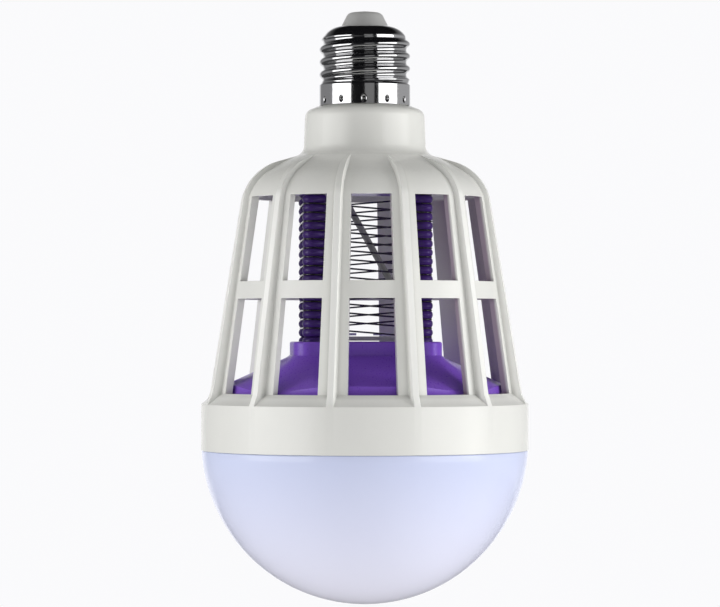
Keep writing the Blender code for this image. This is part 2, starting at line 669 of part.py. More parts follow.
def make_insect_deck(material):
    """Raised square with a fascia, lofted out to a round skirt that seats in the housing."""
    angles = [math.tau * step / DECK_SEGMENTS for step in range(DECK_SEGMENTS)]
    skirt_radius = inner_radius(SKIRT_BOTTOM) - 2.0 * CLEARANCE
    seat_radius = inner_radius(LOWER_WINDOW_BOTTOM) - 2.0 * CLEARANCE
    rim_radius = BORE_RADIUS - CLEARANCE

    def ring(shape_of, height_of):
        return [(shape_of(a) * math.cos(a), shape_of(a) * math.sin(a), height_of(a))
                for a in angles]

    def hip(angle):
        return math.sin(2.0 * angle) ** 4

    def skirt(part, inset):
        """A loop of the skirt, from the fascia at 0 to the round seat at 1."""
        def shape_of(angle):
            square = rounded_square(DECK_HALF_WIDTH, DECK_CORNER, angle)
            return square + (skirt_radius - square) * part - inset

        def height_of(angle):
            full = SKIRT_TOP_SLOPE_DROP + HIP_DROP * hip(angle)
            return FASCIA_BOTTOM - full * part ** 1.3 - inset

        return ring(shape_of, height_of)

    def square(inset, height, corner=DECK_CORNER):
        return ring(lambda a: rounded_square(DECK_HALF_WIDTH - inset, corner - inset, a),
                    lambda a: height)

    def circle(radius, height):
        return ring(lambda a: radius, lambda a: height)

    inner_rim = rim_radius - DECK_WALL
    loops = [square(DECK_EDGE, DECK_TOP), square(0.0, DECK_TOP - DECK_EDGE),
             square(0.0, FASCIA_BOTTOM), skirt(0.5, 0.0), skirt(1.0, 0.0),
             circle(seat_radius, DECK_SEAT_TOP), circle(rim_radius, DECK_SEAT_BOTTOM),
             circle(rim_radius, DECK_BOTTOM), circle(inner_rim, DECK_BOTTOM),
             circle(seat_radius - DECK_WALL, DECK_SEAT_TOP - DECK_WALL),
             skirt(0.5, DECK_WALL), square(DECK_WALL, FASCIA_BOTTOM - DECK_WALL),
             square(DECK_WALL, DECK_TOP - DECK_WALL)]
    deck = add_mesh("insect_deck", loops_to_solid(loops), material)
    boss_top = FASCIA_BOTTOM - SKIRT_TOP_SLOPE_DROP * 0.5
    bosses = bmesh.new()
    bores = bmesh.new()
    for x, y in boss_places():
        for shape, radius, top in ((bosses, BOSS_RADIUS, boss_top),
                                   (bores, SCREW_RADIUS + CLEARANCE, boss_top - DECK_WALL)):
            centre = Matrix.Translation((x, y, (top + DECK_BOTTOM) / 2.0))
            extra = 0.0 if shape is bosses else CLEARANCE
            bmesh.ops.create_cone(shape, cap_ends=True, segments=10, radius1=radius,
                                  radius2=radius, depth=top - DECK_BOTTOM + extra, matrix=centre)
    cut(deck, add_mesh("deck_bosses", bosses, material), "UNION")
    cut(deck, add_mesh("deck_boss_bores", bores, material))


def boss_places():
    turns = [math.tau * index / BOSS_COUNT + math.pi / 2.0 for index in range(BOSS_COUNT)]
    return [(BOSS_CIRCLE * math.cos(turn), BOSS_CIRCLE * math.sin(turn)) for turn in turns]


def make_uv_light(board_material, chip_material):
    board_bottom = DECK_TOP + CLEARANCE
    board_top = board_bottom + BOARD_THICKNESS
    width = 2.0 * (POST_OFFSET - POST_RADIUS - UV_BOARD_MARGIN)
    board = block((width, width, BOARD_THICKNESS),
                  (0.0, 0.0, (board_top + board_bottom) / 2.0))
    add_mesh("uv_led_board", board, board_material)
    for index in range(UV_CHIP_COUNT):
        chip = block((CHIP_WIDTH, CHIP_LENGTH, CHIP_HEIGHT),
                     (UV_CHIP_CIRCLE, 0.0, board_top + CLEARANCE + CHIP_HEIGHT / 2.0),
                     math.tau * (index + 0.5) / UV_CHIP_COUNT)
        add_mesh(f"uv_led_{index + 1}", chip, chip_material)


def make_heat_plate_and_led_board(metal, board_material, chip_material):
    plate = cylinder(BORE_RADIUS - 2.0 * CLEARANCE, HEAT_PLATE_TOP, HEAT_PLATE_BOTTOM, 48)
    plate = add_mesh("heat_plate", plate, metal)
    board = add_mesh("led_board", cylinder(LED_BOARD_RADIUS, LED_BOARD_TOP, LED_BOARD_BOTTOM, 48),
                     board_material)
    for target in (plate, board):
        holes = bmesh.new()
        for x, y in boss_places():
            middle = (HEAT_PLATE_TOP + LED_BOARD_BOTTOM) / 2.0
            bmesh.ops.create_cone(holes, cap_ends=True, segments=10,
                                  radius1=SCREW_RADIUS + CLEARANCE,
                                  radius2=SCREW_RADIUS + CLEARANCE,
                                  depth=2.0 * (HEAT_PLATE_TOP - LED_BOARD_BOTTOM),
                                  matrix=Matrix.Translation((x, y, middle)))
        cut(target, add_mesh(f"{target.name}_holes", holes, metal))
    height = LED_BOARD_BOTTOM - CLEARANCE - CHIP_HEIGHT / 2.0
    chips = [block((CHIP_LENGTH, CHIP_WIDTH, CHIP_HEIGHT), (LED_BOARD_RADIUS * share, 0.0, height),
                   math.tau * (index + 0.5) / count)
             for share, count in LED_RING_SHARES for index in range(count)]
    for index, chip in enumerate(chips):
        add_mesh(f"led_chip_{index + 1:02d}", chip, chip_material)


def make_board_screws(material):
    head_top = LED_BOARD_BOTTOM - CLEARANCE
    outline = [(0.0, DECK_BOTTOM + SCREW_BITE), (SCREW_RADIUS, DECK_BOTTOM + SCREW_BITE),
               (SCREW_RADIUS, head_top), (SCREW_HEAD_RADIUS, head_top),
               (SCREW_HEAD_RADIUS * 0.8, head_top - SCREW_HEAD_HEIGHT),
               (0.0, head_top - SCREW_HEAD_HEIGHT)]
    for index, (x, y) in enumerate(boss_places()):
        screw = add_mesh(f"board_screw_{index + 1}", turned(outline, 10, closed=False), material)
        screw.location = (x, y, 0.0)


def make_high_voltage_board(board_material, spacer_material, capacitor_material):
    spacer_bottom = HEAT_PLATE_TOP + CLEARANCE
    spacer_top = spacer_bottom + SPACER_HEIGHT
    board_bottom = spacer_top + CLEARANCE
    board_top = board_bottom + BOARD_THICKNESS
    corners = [(x, y) for x in (-SPACER_OFFSET, SPACER_OFFSET)
               for y in (-SPACER_OFFSET, SPACER_OFFSET)]
    for index, corner in enumerate(corners):
        spacer = cylinder(SPACER_RADIUS, spacer_top, spacer_bottom, 10, corner)
        add_mesh(f"board_spacer_{index + 1}", spacer, spacer_material)
    board = block((HV_BOARD_WIDTH, HV_BOARD_WIDTH, BOARD_THICKNESS),
                  (0.0, 0.0, (board_top + board_bottom) / 2.0))
    add_mesh("hv_board", board, board_material)
    for index in range(HV_CAPACITOR_COUNT):
        y = (index - (HV_CAPACITOR_COUNT - 1) / 2.0) * HV_CAPACITOR_SPACING
        capacitor = block((HV_CAPACITOR_WIDTH, HV_CAPACITOR_DEPTH, HV_CAPACITOR_HEIGHT),
                          (0.0, y, board_top + CLEARANCE + HV_CAPACITOR_HEIGHT / 2.0))
        add_mesh(f"hv_capacitor_{index + 1}", capacitor, capacitor_material)


def make_driver(board_material, sleeve, ferrite, black, resistor_paint):
    bottom = TOP_PLATE_TOP + CLEARANCE
    top = bottom + DRIVER_HEIGHT
    face = BOARD_THICKNESS / 2.0
    board = block((DRIVER_WIDTH, BOARD_THICKNESS, DRIVER_HEIGHT),
                  (0.0, 0.0, (top + bottom) / 2.0))
    add_mesh("driver_board", board, board_material)
    front = face + CLEARANCE
    add_mesh("smoothing_capacitor", cylinder(
        CAPACITOR_RADIUS, bottom + CAPACITOR_LENGTH + CLEARANCE, bottom + CLEARANCE, 16,
        (0.0, -front - CAPACITOR_RADIUS)), sleeve)
    add_mesh("choke", cylinder(
        CHOKE_RADIUS, bottom + CHOKE_LENGTH + CLEARANCE, bottom + CLEARANCE, 12,
        (0.0, front + CHOKE_RADIUS)), ferrite)
    rectifier = block((RECTIFIER_WIDTH, RECTIFIER_DEPTH, RECTIFIER_WIDTH),
                      (0.0, front + RECTIFIER_DEPTH / 2.0, top - RECTIFIER_WIDTH / 2.0))
    add_mesh("bridge_rectifier", rectifier, black)
    resistor_x = DRIVER_WIDTH / 4.0 + RESISTOR_RADIUS
    add_mesh("fuse_resistor", cylinder(
        RESISTOR_RADIUS, top - CLEARANCE, top - CLEARANCE - RESISTOR_LENGTH, 10,
        (resistor_x, -front - RESISTOR_RADIUS)), resistor_paint)


def make_leads(cap_lead, feed_lead):
    board_top = TOP_PLATE_TOP + CLEARANCE + DRIVER_HEIGHT + CLEARANCE
    gap = CLEARANCE
    lead_x = SPIGOT_RADIUS - SPIGOT_WALL - CAP_LEAD_DIAMETER
    shell_inside = (THREAD_DIAMETER / 2.0 - THREAD_DEPTH - SHELL_SHEET)
    add_curve("contact_lead", [(0.0, 0.0, -SHANK_LENGTH - gap), (0.0, 0.0, board_top)],
              CAP_LEAD_DIAMETER, cap_lead, 1)
    solder_x = shell_inside - gap
    add_curve("shell_lead", [(solder_x, 0.0, THREAD_BOTTOM + 2.0 * CAP_LEAD_DIAMETER),
                             (lead_x, 0.0, THREAD_BOTTOM + CAP_LEAD_DIAMETER),
                             (lead_x, 0.0, board_top)], CAP_LEAD_DIAMETER, cap_lead, 1)
    top = TOP_PLATE_BOTTOM - gap
    foot = DECK_TOP + gap
    add_curve("feed_lead", [(FEED_LEAD_TOP_X, 0.0, top), (FEED_LEAD_TOP_X, 0.0, top - FEED_LEAD_STUB),
                            (FEED_LEAD_FOOT_X, 0.0, foot + FEED_LEAD_STUB),
                            (FEED_LEAD_FOOT_X, 0.0, foot)], FEED_LEAD_DIAMETER, feed_lead, 2)


def build():
    remove_old_objects()
    white = finish_of("warm_white_plastic", (0.80, 0.80, 0.76), 0.35)
    violet = finish_of("violet_plastic", (0.10, 0.03, 0.28), 0.35)
    chrome = finish_of("plated_cap", (0.75, 0.75, 0.76), 0.12, 1.0)
    solder = finish_of("tinned_contact", (0.55, 0.55, 0.54), 0.35, 1.0)
    grey = finish_of("grey_insulator", (0.32, 0.32, 0.31), 0.5)
    opal = finish_of("opal_diffuser", (0.66, 0.68, 0.92), 0.4)
    wire = finish_of("dark_steel_wire", (0.03, 0.03, 0.03), 0.4, 1.0)
    sleeve = finish_of("grey_lead_sleeve", (0.08, 0.08, 0.075), 0.6)
    green = finish_of("green_circuit_board", (0.02, 0.16, 0.06), 0.5)
    board_white = finish_of("white_circuit_board", (0.8, 0.8, 0.8), 0.5)
    phosphor = finish_of("yellow_chip", (0.85, 0.65, 0.10), 0.4)
    clear_chip = finish_of("clear_chip", (0.6, 0.55, 0.85), 0.2)
    aluminium = finish_of("aluminium_plate", (0.7, 0.7, 0.72), 0.4, 1.0)
    steel = finish_of("zinc_screw", (0.6, 0.6, 0.58), 0.35, 1.0)
    black = finish_of("black_component", (0.02, 0.02, 0.02), 0.4)
    film = finish_of("red_film_capacitor", (0.45, 0.04, 0.02), 0.35)
    resistor_paint = finish_of("blue_resistor", (0.10, 0.20, 0.40), 0.4)

    make_centre_contact(solder)
    make_cap_insulator(grey)
    make_screw_shell(chrome)
    make_cage_housing(white)
    make_diffuser_dome(opal)
    make_top_plate(violet)
    make_grid_posts(violet)
    make_grid_wires(wire, wire)
    make_insect_deck(violet)
    make_uv_light(board_white, clear_chip)
    make_heat_plate_and_led_board(aluminium, board_white, phosphor)
    make_board_screws(steel)
    make_high_voltage_board(green, board_white, film)
    make_driver(green, black, black, black, resistor_paint)
    make_leads(sleeve, sleeve)


build()
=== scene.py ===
# %% [markdown]
# # An insect killer light bulb
# The lamp screws into a holder and hangs with its cap up. Under the cap is a white moulded cage
# with two rows of windows. Through them show four violet ribbed posts that carry two thin wires,
# and a violet deck. An opal dome under the cage hides the lighting LEDs.
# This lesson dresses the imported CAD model: it keeps the size and place of every solid, rebuilds
# what shows with finer forms, and gives each surface the finish of the real one.

import json
import math

import bmesh
import bpy
from mathutils import Matrix, Vector


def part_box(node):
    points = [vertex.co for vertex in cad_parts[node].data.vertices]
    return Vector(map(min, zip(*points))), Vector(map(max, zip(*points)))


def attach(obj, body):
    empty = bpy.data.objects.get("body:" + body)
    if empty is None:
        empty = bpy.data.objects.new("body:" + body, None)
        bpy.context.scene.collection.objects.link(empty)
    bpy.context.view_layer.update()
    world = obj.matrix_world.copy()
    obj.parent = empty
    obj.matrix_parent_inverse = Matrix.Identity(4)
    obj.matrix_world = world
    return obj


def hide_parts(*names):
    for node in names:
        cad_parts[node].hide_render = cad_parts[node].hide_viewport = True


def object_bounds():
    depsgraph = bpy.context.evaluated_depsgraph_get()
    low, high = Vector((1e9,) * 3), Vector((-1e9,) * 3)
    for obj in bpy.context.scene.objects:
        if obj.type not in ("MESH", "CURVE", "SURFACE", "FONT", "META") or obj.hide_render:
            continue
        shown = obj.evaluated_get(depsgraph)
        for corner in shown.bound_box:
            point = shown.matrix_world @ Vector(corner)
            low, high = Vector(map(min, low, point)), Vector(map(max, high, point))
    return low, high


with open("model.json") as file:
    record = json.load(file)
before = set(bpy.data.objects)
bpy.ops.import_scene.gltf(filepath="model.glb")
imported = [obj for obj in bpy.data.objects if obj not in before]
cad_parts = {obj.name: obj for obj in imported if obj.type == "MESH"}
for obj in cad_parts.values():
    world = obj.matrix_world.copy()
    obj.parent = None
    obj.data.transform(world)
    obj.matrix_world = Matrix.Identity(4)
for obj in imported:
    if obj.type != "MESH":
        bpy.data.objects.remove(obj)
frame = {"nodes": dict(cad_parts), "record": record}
cad_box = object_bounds()
nodes = frame["nodes"]
print("CAD nodes:", len(nodes), "- height in mm:", round((cad_box[1].z - cad_box[0].z) * 1000, 1))

# %% [markdown]
# ## The camera
# The lamp was photographed from nearly its own height with a long lens, so its rims look almost
# flat. A level camera with a vertical shift keeps the lamp's sides upright, where a tilted camera
# would make them lean. The camera stands three degrees left of the middle of the front windows.

# %% Set the camera
VIEW_TURN = math.radians(-3.0)
VIEW_DISTANCE = 0.985
EYE_HEIGHT = -0.0928
PHOTO_WIDTH = 720.0
OFF_CENTRE_PIXELS = (-4.8, 28.5)
LENS = 169.8
SENSOR_WIDTH = 36.0

camera_data = bpy.data.cameras.new("photo_camera")
camera_data.lens = LENS
camera_data.sensor_width = SENSOR_WIDTH
camera_data.shift_x, camera_data.shift_y = (pixels / PHOTO_WIDTH for pixels in OFF_CENTRE_PIXELS)
camera_data.clip_start = 0.01
camera = bpy.data.objects.new("photo_camera", camera_data)
camera.location = (VIEW_DISTANCE * math.sin(VIEW_TURN), -VIEW_DISTANCE * math.cos(VIEW_TURN),
                   EYE_HEIGHT)
camera.rotation_euler = (math.pi / 2.0, 0.0, VIEW_TURN)
bpy.context.scene.collection.objects.link(camera)
bpy.context.scene.camera = camera
bpy.context.scene.view_settings.view_transform = "Standard"
print("camera at", [round(value, 3) for value in camera.location])

# %% [markdown]
# ## Helpers for materials
# A material is a small network of nodes. Most networks here start with a noise pattern, which
# stands for what moulding, rolling or handling leaves on a surface. Each helper adds a node, joins
# it to what comes before and gives back the new socket, so that a network reads as a short list of
# steps.

# %% Material helpers
def add_node(tree, kind, values=None, **settings):
    """Adds a node with its own settings, and gives each input its value or links it to a socket."""
    node = tree.nodes.new(kind)
    for name, value in settings.items():
        setattr(node, name, value)
    for name, value in (values or {}).items():
        if isinstance(value, bpy.types.NodeSocket):
            tree.links.new(value, node.inputs[name])
        else:
            node.inputs[name].default_value = value
    return node


def mix_colours(tree, mask, first, second):
    """Mixes from one colour to another by a mask."""
    ends = [colour if isinstance(colour, bpy.types.NodeSocket) else (*colour, 1.0)
            for colour in (first, second)]
    return add_node(tree, "ShaderNodeMix", {0: mask, 6: ends[0], 7: ends[1]},
                    data_type="RGBA").outputs[2]


def spread(tree, value, low, high, start=0.0, end=1.0):
    """Maps a value from start..end to low..high, held at both ends."""
    return add_node(tree, "ShaderNodeMapRange",
                    {"Value": value, "From Min": start, "From Max": end,
                     "To Min": low, "To Max": high}).outputs["Result"]


def combine(tree, operation, first, second, **settings):
    """Works out one value from two by a Math operation."""
    return add_node(tree, "ShaderNodeMath", {0: first, 1: second}, operation=operation,
                    **settings).outputs[0]


def mix_shaders(tree, mask, first, second):
    """Mixes from one shader to another by a mask."""
    return add_node(tree, "ShaderNodeMixShader", {0: mask, 1: first, 2: second}).outputs[0]


def find_place(tree):
    """The place of a point, and its distance to the right, to the back and up."""
    place = tree.nodes.new("ShaderNodeTexCoord").outputs["Object"]
    return place, add_node(tree, "ShaderNodeSeparateXYZ", {"Vector": place}).outputs


def axis_distance(tree, place):
    """How far a place lies from the upright axis."""
    level = add_node(tree, "ShaderNodeVectorMath", {0: place, 1: (1.0, 1.0, 0.0)},
                     operation="MULTIPLY").outputs[0]
    return add_node(tree, "ShaderNodeVectorMath", {0: level}, operation="LENGTH").outputs["Value"]


def new_material(name):
    """A material, its node tree and its shader."""
    material = bpy.data.materials.new(name)
    material.use_nodes = True
    return material, material.node_tree, material.node_tree.nodes["Principled BSDF"]


# %% [markdown]
# ## Shared surface effects
# Two effects occur on many parts. Moulded and sheet parts have a fine grain and a slow drift of
# tone, and every face that looks up gathers a little dust. Each effect is a node group, which is
# built once and placed in each material with its own scale. A group gives out only masks, so the
# shader itself stays in the material, where its plain values are easy to find.

# %% Node groups
def new_group(name, inputs, outputs):
    """A node group with float inputs of (name, value), and float outputs."""
    group = bpy.data.node_groups.new(name, "ShaderNodeTree")
    for label, value in inputs:
        socket = group.interface.new_socket(label, in_out="INPUT", socket_type="NodeSocketFloat")
        socket.default_value = value
    for label in outputs:
        group.interface.new_socket(label, in_out="OUTPUT", socket_type="NodeSocketFloat")
    return group, group.nodes.new("NodeGroupInput"), group.nodes.new("NodeGroupOutput")


def make_surface_grain():
    group, given, made = new_group("surface_grain", [("Grain Scale", 2500.0), ("Drift Scale", 40.0)],
                                   ["Grain", "Drift"])
    place = group.nodes.new("ShaderNodeTexCoord").outputs["Object"]
    for label, detail in (("Grain", 2.0), ("Drift", 3.0)):
        noise = add_node(group, "ShaderNodeTexNoise",
                         {"Vector": place, "Scale": given.outputs[f"{label} Scale"],
                          "Detail": detail, "Roughness": 0.55})
        group.links.new(spread(group, noise.outputs["Fac"], 0.0, 1.0, 0.25, 0.75),
                        made.inputs[label])
    return group


def make_settled_dust():
    group, given, made = new_group("settled_dust", [("Amount", 0.3), ("Speck Scale", 900.0)],
                                   ["Mask"])
    normal = group.nodes.new("ShaderNodeNewGeometry").outputs["Normal"]
    facing = add_node(group, "ShaderNodeSeparateXYZ", {"Vector": normal})
    place = group.nodes.new("ShaderNodeTexCoord").outputs["Object"]
    specks = add_node(group, "ShaderNodeTexNoise",
                      {"Vector": place, "Scale": given.outputs["Speck Scale"],
                       "Detail": 4.0, "Roughness": 0.7})
    covered = combine(group, "MULTIPLY", spread(group, facing.outputs["Z"], 0.0, 1.0, 0.35, 0.95),
                      spread(group, specks.outputs["Fac"], 0.2, 1.0, 0.4, 0.7))
    weighed = combine(group, "MULTIPLY", covered, given.outputs["Amount"], use_clamp=True)
    group.links.new(weighed, made.inputs["Mask"])
    return group


SURFACE_GRAIN = make_surface_grain()
SETTLED_DUST = make_settled_dust()
print("node groups:", [group.name for group in bpy.data.node_groups])

# %% [markdown]
# ## One recipe for most finishes
# Plastics, boards, metals and sleeves differ in colour, gloss and grain more than in kind. So one
# recipe takes two near tones of a finish and drifts between them, lets the gloss vary a little
# with the grain, raises the grain as a bump, and lays dust on what looks up. It can also paint
# shade into the inner corners of a moulding, darker the more closed in they are. What is the same
# all over, such as metal or not, is set on the shader itself.

# %% The finish recipe
DUST_COLOUR = (0.42, 0.40, 0.36)
# Ambient occlusion levels between which the painted shade in creases goes from full to none.
CLOSED_IN = 0.30
OPEN = 0.85


def paint_crease_shade(tree, colour, share, reach):
    """Paints shade: darkens a colour towards a share of itself where the surface is closed in."""
    openness = add_node(tree, "ShaderNodeAmbientOcclusion", {"Distance": reach}, samples=16,
                        only_local=True)
    level = spread(tree, openness.outputs["AO"], share, 1.0, CLOSED_IN, OPEN)
    return add_node(tree, "ShaderNodeVectorMath", {0: colour, "Scale": level},
                    operation="SCALE").outputs[0]


def make_finish(name, pale, deep, roughness, metallic=0.0, grain=2500.0, drift=40.0,
                bump=0.00001, dust=0.15, crease=1.0, reach=0.0028):
    """A material that drifts between two tones, with grain, dust and painted shade in creases."""
    material, tree, shader = new_material(name)
    shader.inputs["Metallic"].default_value = metallic
    surface = add_node(tree, "ShaderNodeGroup", node_tree=SURFACE_GRAIN)
    surface.inputs["Grain Scale"].default_value = grain
    surface.inputs["Drift Scale"].default_value = drift
    dusting = add_node(tree, "ShaderNodeGroup", node_tree=SETTLED_DUST)
    dusting.inputs["Amount"].default_value = dust
    tone = mix_colours(tree, surface.outputs["Drift"], pale, deep)
    tone = mix_colours(tree, dusting.outputs["Mask"], tone, DUST_COLOUR)
    # Painted shade: creases and inner corners are darkened by how closed in they are.
    if crease < 1.0:
        tone = paint_crease_shade(tree, tone, crease, reach)
    gloss = spread(tree, surface.outputs["Grain"], roughness * 0.85, roughness * 1.15)
    raised = add_node(tree, "ShaderNodeBump",
                      {"Height": surface.outputs["Grain"], "Strength": 1.0, "Distance": bump})
    tree.links.new(tone, shader.inputs["Base Color"])
    tree.links.new(gloss, shader.inputs["Roughness"])
    tree.links.new(raised.outputs["Normal"], shader.inputs["Normal"])
    return material


# crease is the share of its tone that a finish keeps in the most closed-in corners, as painted
# shade.
FINISH_TABLE = (
    ("warm_white_plastic", (0.83, 0.83, 0.79), (0.80, 0.80, 0.765), 0.24,
     dict(bump=0.000004, dust=0.10, crease=0.55)),
    ("violet_plastic", (0.245, 0.098, 0.660), (0.205, 0.078, 0.580), 0.30,
     dict(bump=0.000006, dust=0.03, crease=0.22, reach=0.0095)),
    # A darker copy of the violet plastic: painted shade for the posts, which stand in shade inside
    # the cage.
    ("violet_plastic_painted_shade", (0.052, 0.016, 0.165), (0.042, 0.012, 0.135), 0.32,
     dict(bump=0.000006, dust=0.03, crease=0.35)),
    ("plated_cap", (0.80, 0.80, 0.81), (0.74, 0.74, 0.75), 0.11,
     dict(metallic=1.0, grain=1200.0, bump=0.000002, dust=0.02, crease=0.15)),
    ("tinned_contact", (0.48, 0.48, 0.47), (0.36, 0.36, 0.355), 0.42,
     dict(metallic=1.0, grain=900.0, drift=300.0, bump=0.00002)),
    ("grey_insulator", (0.50, 0.50, 0.49), (0.46, 0.46, 0.455), 0.45, {}),
    ("dark_steel_wire", (0.17, 0.165, 0.175), (0.12, 0.12, 0.125), 0.18,
     dict(metallic=1.0, grain=6000.0, dust=0.0)),
    ("grey_lead_sleeve", (0.27, 0.27, 0.265), (0.22, 0.22, 0.215), 0.50, dict(dust=0.05)),
    ("green_circuit_board", (0.02, 0.17, 0.06), (0.015, 0.12, 0.05), 0.40, dict(drift=250.0)),
    ("white_circuit_board", (0.82, 0.82, 0.81), (0.76, 0.76, 0.75), 0.45, dict(drift=150.0)),
    ("yellow_chip", (0.88, 0.70, 0.14), (0.80, 0.58, 0.08), 0.40, dict(drift=600.0)),
    ("clear_chip", (0.62, 0.57, 0.88), (0.50, 0.45, 0.80), 0.18, dict(drift=500.0)),
    ("aluminium_plate", (0.72, 0.72, 0.74), (0.62, 0.62, 0.65), 0.38,
     dict(metallic=1.0, grain=1500.0)),
    ("zinc_screw", (0.62, 0.62, 0.60), (0.50, 0.50, 0.49), 0.34,
     dict(metallic=1.0, drift=400.0)),
    ("black_component", (0.025, 0.025, 0.027), (0.015, 0.015, 0.016), 0.42, {}),
    ("red_film_capacitor", (0.48, 0.05, 0.025), (0.38, 0.03, 0.015), 0.30, dict(drift=200.0)),
    ("blue_resistor", (0.10, 0.21, 0.42), (0.08, 0.16, 0.34), 0.40, dict(drift=300.0)),
)
FINISHES = {name: make_finish(name, pale, deep, roughness, **others)
            for name, pale, deep, roughness, others in FINISH_TABLE}
print("finishes:", len(FINISHES))

# %% [markdown]
# ## The opal dome's finish
# The dome is milky plastic that spreads light. It looks pale blue under the ring and paler and
# warmer at the bottom, where light comes up from below. A gradient along the lamp's height paints
# that light into the colour, so this material has steps of its own. A weak glow is painted light
# too: it stands for the light that comes through from the far side of the dome.

# %% Opal finish
DOME_TOP_TONES = ((0.600, 0.645, 0.850), (0.612, 0.660, 0.865))
DOME_FOOT_PAINTED_LIGHT = (0.800, 0.790, 0.890)
DOME_FADE_HEIGHT = 0.042
DOME_DRIFT = 25.0
DOME_GLOSS = (0.13, 0.16)
DOME_PAINTED_GLOW = 0.11


def make_opal(name):
    """Milky plastic with painted light: paler towards its foot, and a weak glow."""
    material, tree, shader = new_material(name)
    axes = find_place(tree)[1]
    surface = add_node(tree, "ShaderNodeGroup", node_tree=SURFACE_GRAIN)
    surface.inputs["Drift Scale"].default_value = DOME_DRIFT
    foot = cad_box[0].z
    down = spread(tree, axes["Z"], 1.0, 0.0, foot, foot + DOME_FADE_HEIGHT)
    upper = mix_colours(tree, surface.outputs["Drift"], *DOME_TOP_TONES)
    # Painted light: the tone grows paler towards the foot, where light comes up from below.
    tone = mix_colours(tree, down, upper, DOME_FOOT_PAINTED_LIGHT)
    tree.links.new(tone, shader.inputs["Base Color"])
    # Painted light: a weak glow, though the dome is no lamp.
    tree.links.new(tone, shader.inputs["Emission Color"])
    shader.inputs["Emission Strength"].default_value = DOME_PAINTED_GLOW
    gloss = spread(tree, surface.outputs["Grain"], *DOME_GLOSS)
    tree.links.new(gloss, shader.inputs["Roughness"])
    return material


FINISHES["opal_diffuser"] = make_opal("opal_diffuser")
print("opal fades over", DOME_FADE_HEIGHT * 1000, "mm")

# %% [markdown]
# ## Materials for the CAD nodes
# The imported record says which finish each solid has. Every node gets its procedural material
# here, also those that stay hidden inside, so that nothing is left plain when a part is opened.

# %% Dress the CAD nodes
for part in frame["record"]["subparts"]:
    node = nodes[part["node"]]
    node.data.materials.clear()
    node.data.materials.append(FINISHES[part["material_slot"]])

# %% [markdown]
# ## Helpers for turned pieces
# Cap, neck, dome and posts are round. Each starts as half an outline, a chain of points with a
# radius and a height, which spin carries round the axis. Corners with a fillet are worked out as
# true arcs, because that is how a mould maker rounds them.

# %% Modelling helpers
MERGE = 0.000001


def place_object(name, data):
    """Puts an object with this data into the scene."""
    placed = bpy.data.objects.new(name, data)
    bpy.context.scene.collection.objects.link(placed)
    return placed


def place_shape(name, shape):
    """Makes a mesh of a bmesh and puts it into the scene."""
    mesh = bpy.data.meshes.new(name)
    shape.to_mesh(mesh)
    shape.free()
    return place_object(name, mesh)


def ease(value, start, end):
    """A smooth step from 0 at the start to 1 at the end."""
    part = max(0.0, min(1.0, (value - start) / (end - start)))
    return part * part * (3.0 - 2.0 * part)


def rounded(corners):
    """An outline through corners of (radius, height, fillet, steps), each fillet a true arc."""
    points = []
    for index, (radius, height, fillet, steps) in enumerate(corners):
        corner = Vector((radius, height))
        if fillet == 0.0:
            points.append(corner)
            continue
        before = (Vector(corners[index - 1][:2]) - corner).normalized()
        after = (Vector(corners[index + 1][:2]) - corner).normalized()
        half = before.angle(after) / 2.0
        centre = corner + (before + after).normalized() * (fillet / math.sin(half))
        start = corner + before * (fillet / math.tan(half)) - centre
        end = corner + after * (fillet / math.tan(half)) - centre
        turn = -start.angle_signed(end)
        for step in range(steps + 1):
            points.append(centre + Matrix.Rotation(turn * step / steps, 2) @ start)
    return points


def spin_outline(shape, outline, segments, number_of=None):
    """Spins an outline of (radius, height) about the axis, closed, and may number its points."""
    points = [shape.verts.new((radius, 0.0, height)) for radius, height in outline]
    if number_of:
        for number, point in enumerate(points):
            point[number_of] = number
    lines = [shape.edges.new(pair) for pair in zip(points, points[1:])]
    bmesh.ops.spin(shape, geom=points + lines, cent=(0, 0, 0), axis=(0, 0, 1), angle=math.tau,
                   steps=segments, use_merge=True)
    bmesh.ops.remove_doubles(shape, verts=shape.verts, dist=MERGE)


def turned(outline, segments, centre=(0.0, 0.0)):
    """A turned form about an upright axis through the centre."""
    shape = bmesh.new()
    spin_outline(shape, outline, segments)
    bmesh.ops.translate(shape, verts=shape.verts, vec=(*centre, 0.0))
    return shape


def finish_piece(name, shape, slot, *stands_for, crease=None, finish=None):
    """Makes a piece of a bmesh, in the finish of a slot, in place of the nodes it stands for."""
    bmesh.ops.recalc_face_normals(shape, faces=shape.faces)
    piece = place_shape(name, shape)
    mesh = piece.data
    mesh.shade_smooth()
    if crease is not None:
        mesh.set_sharp_from_angle(angle=math.radians(crease))
    mesh.materials.append(FINISHES[finish or slot])
    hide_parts(*stands_for)
    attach(piece, "root")
    print(name, "faces:", len(mesh.polygons))
    return piece


# %% [markdown]
# ## The screw shell
# The shell is thin brass sheet, drawn into a cup, rolled into a round thread and plated. Crest and
# root of such a thread are arcs of nearly the same radius that run into each other. So the plain
# cup is spun first with many rows, and then each point is pushed in or out by these arcs, from
# its angle and height. A helical sweep would leave a seam where the thread runs out, and the wave
# fades out by itself. The small dents round the skirt lock the shell to the plastic neck and are
# pushed in the same way.

# %% Screw shell
SHELL_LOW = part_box("screw_shell")[0]
THREAD_RADIUS = 0.0132
THREAD_DEPTH = 0.0011
THREAD_PITCH = 0.003629
THREAD_TOP = -0.0068
THREAD_BOTTOM = -0.0210
THREAD_PHASE = 0.0024
SHELL_SHEET = 0.00035
SHELL_SHOULDER = 0.00567
LIP_RADIUS = 0.0070
LIP_TOP = -0.0043
SHOULDER_STEPS = 26
SHELL_SEGMENTS = 432
ROWS_PER_PITCH = 22
SKIRT_ROWS = 30
CRIMP_COUNT = 12
CRIMP_TURN = math.radians(-4.0)
CRIMP_HALF_WIDTH = 0.00078
CRIMP_HALF_HEIGHT = 0.00115
CRIMP_DEPTH = 0.00090
CRIMP_HEIGHT = SHELL_LOW.z + 0.0014


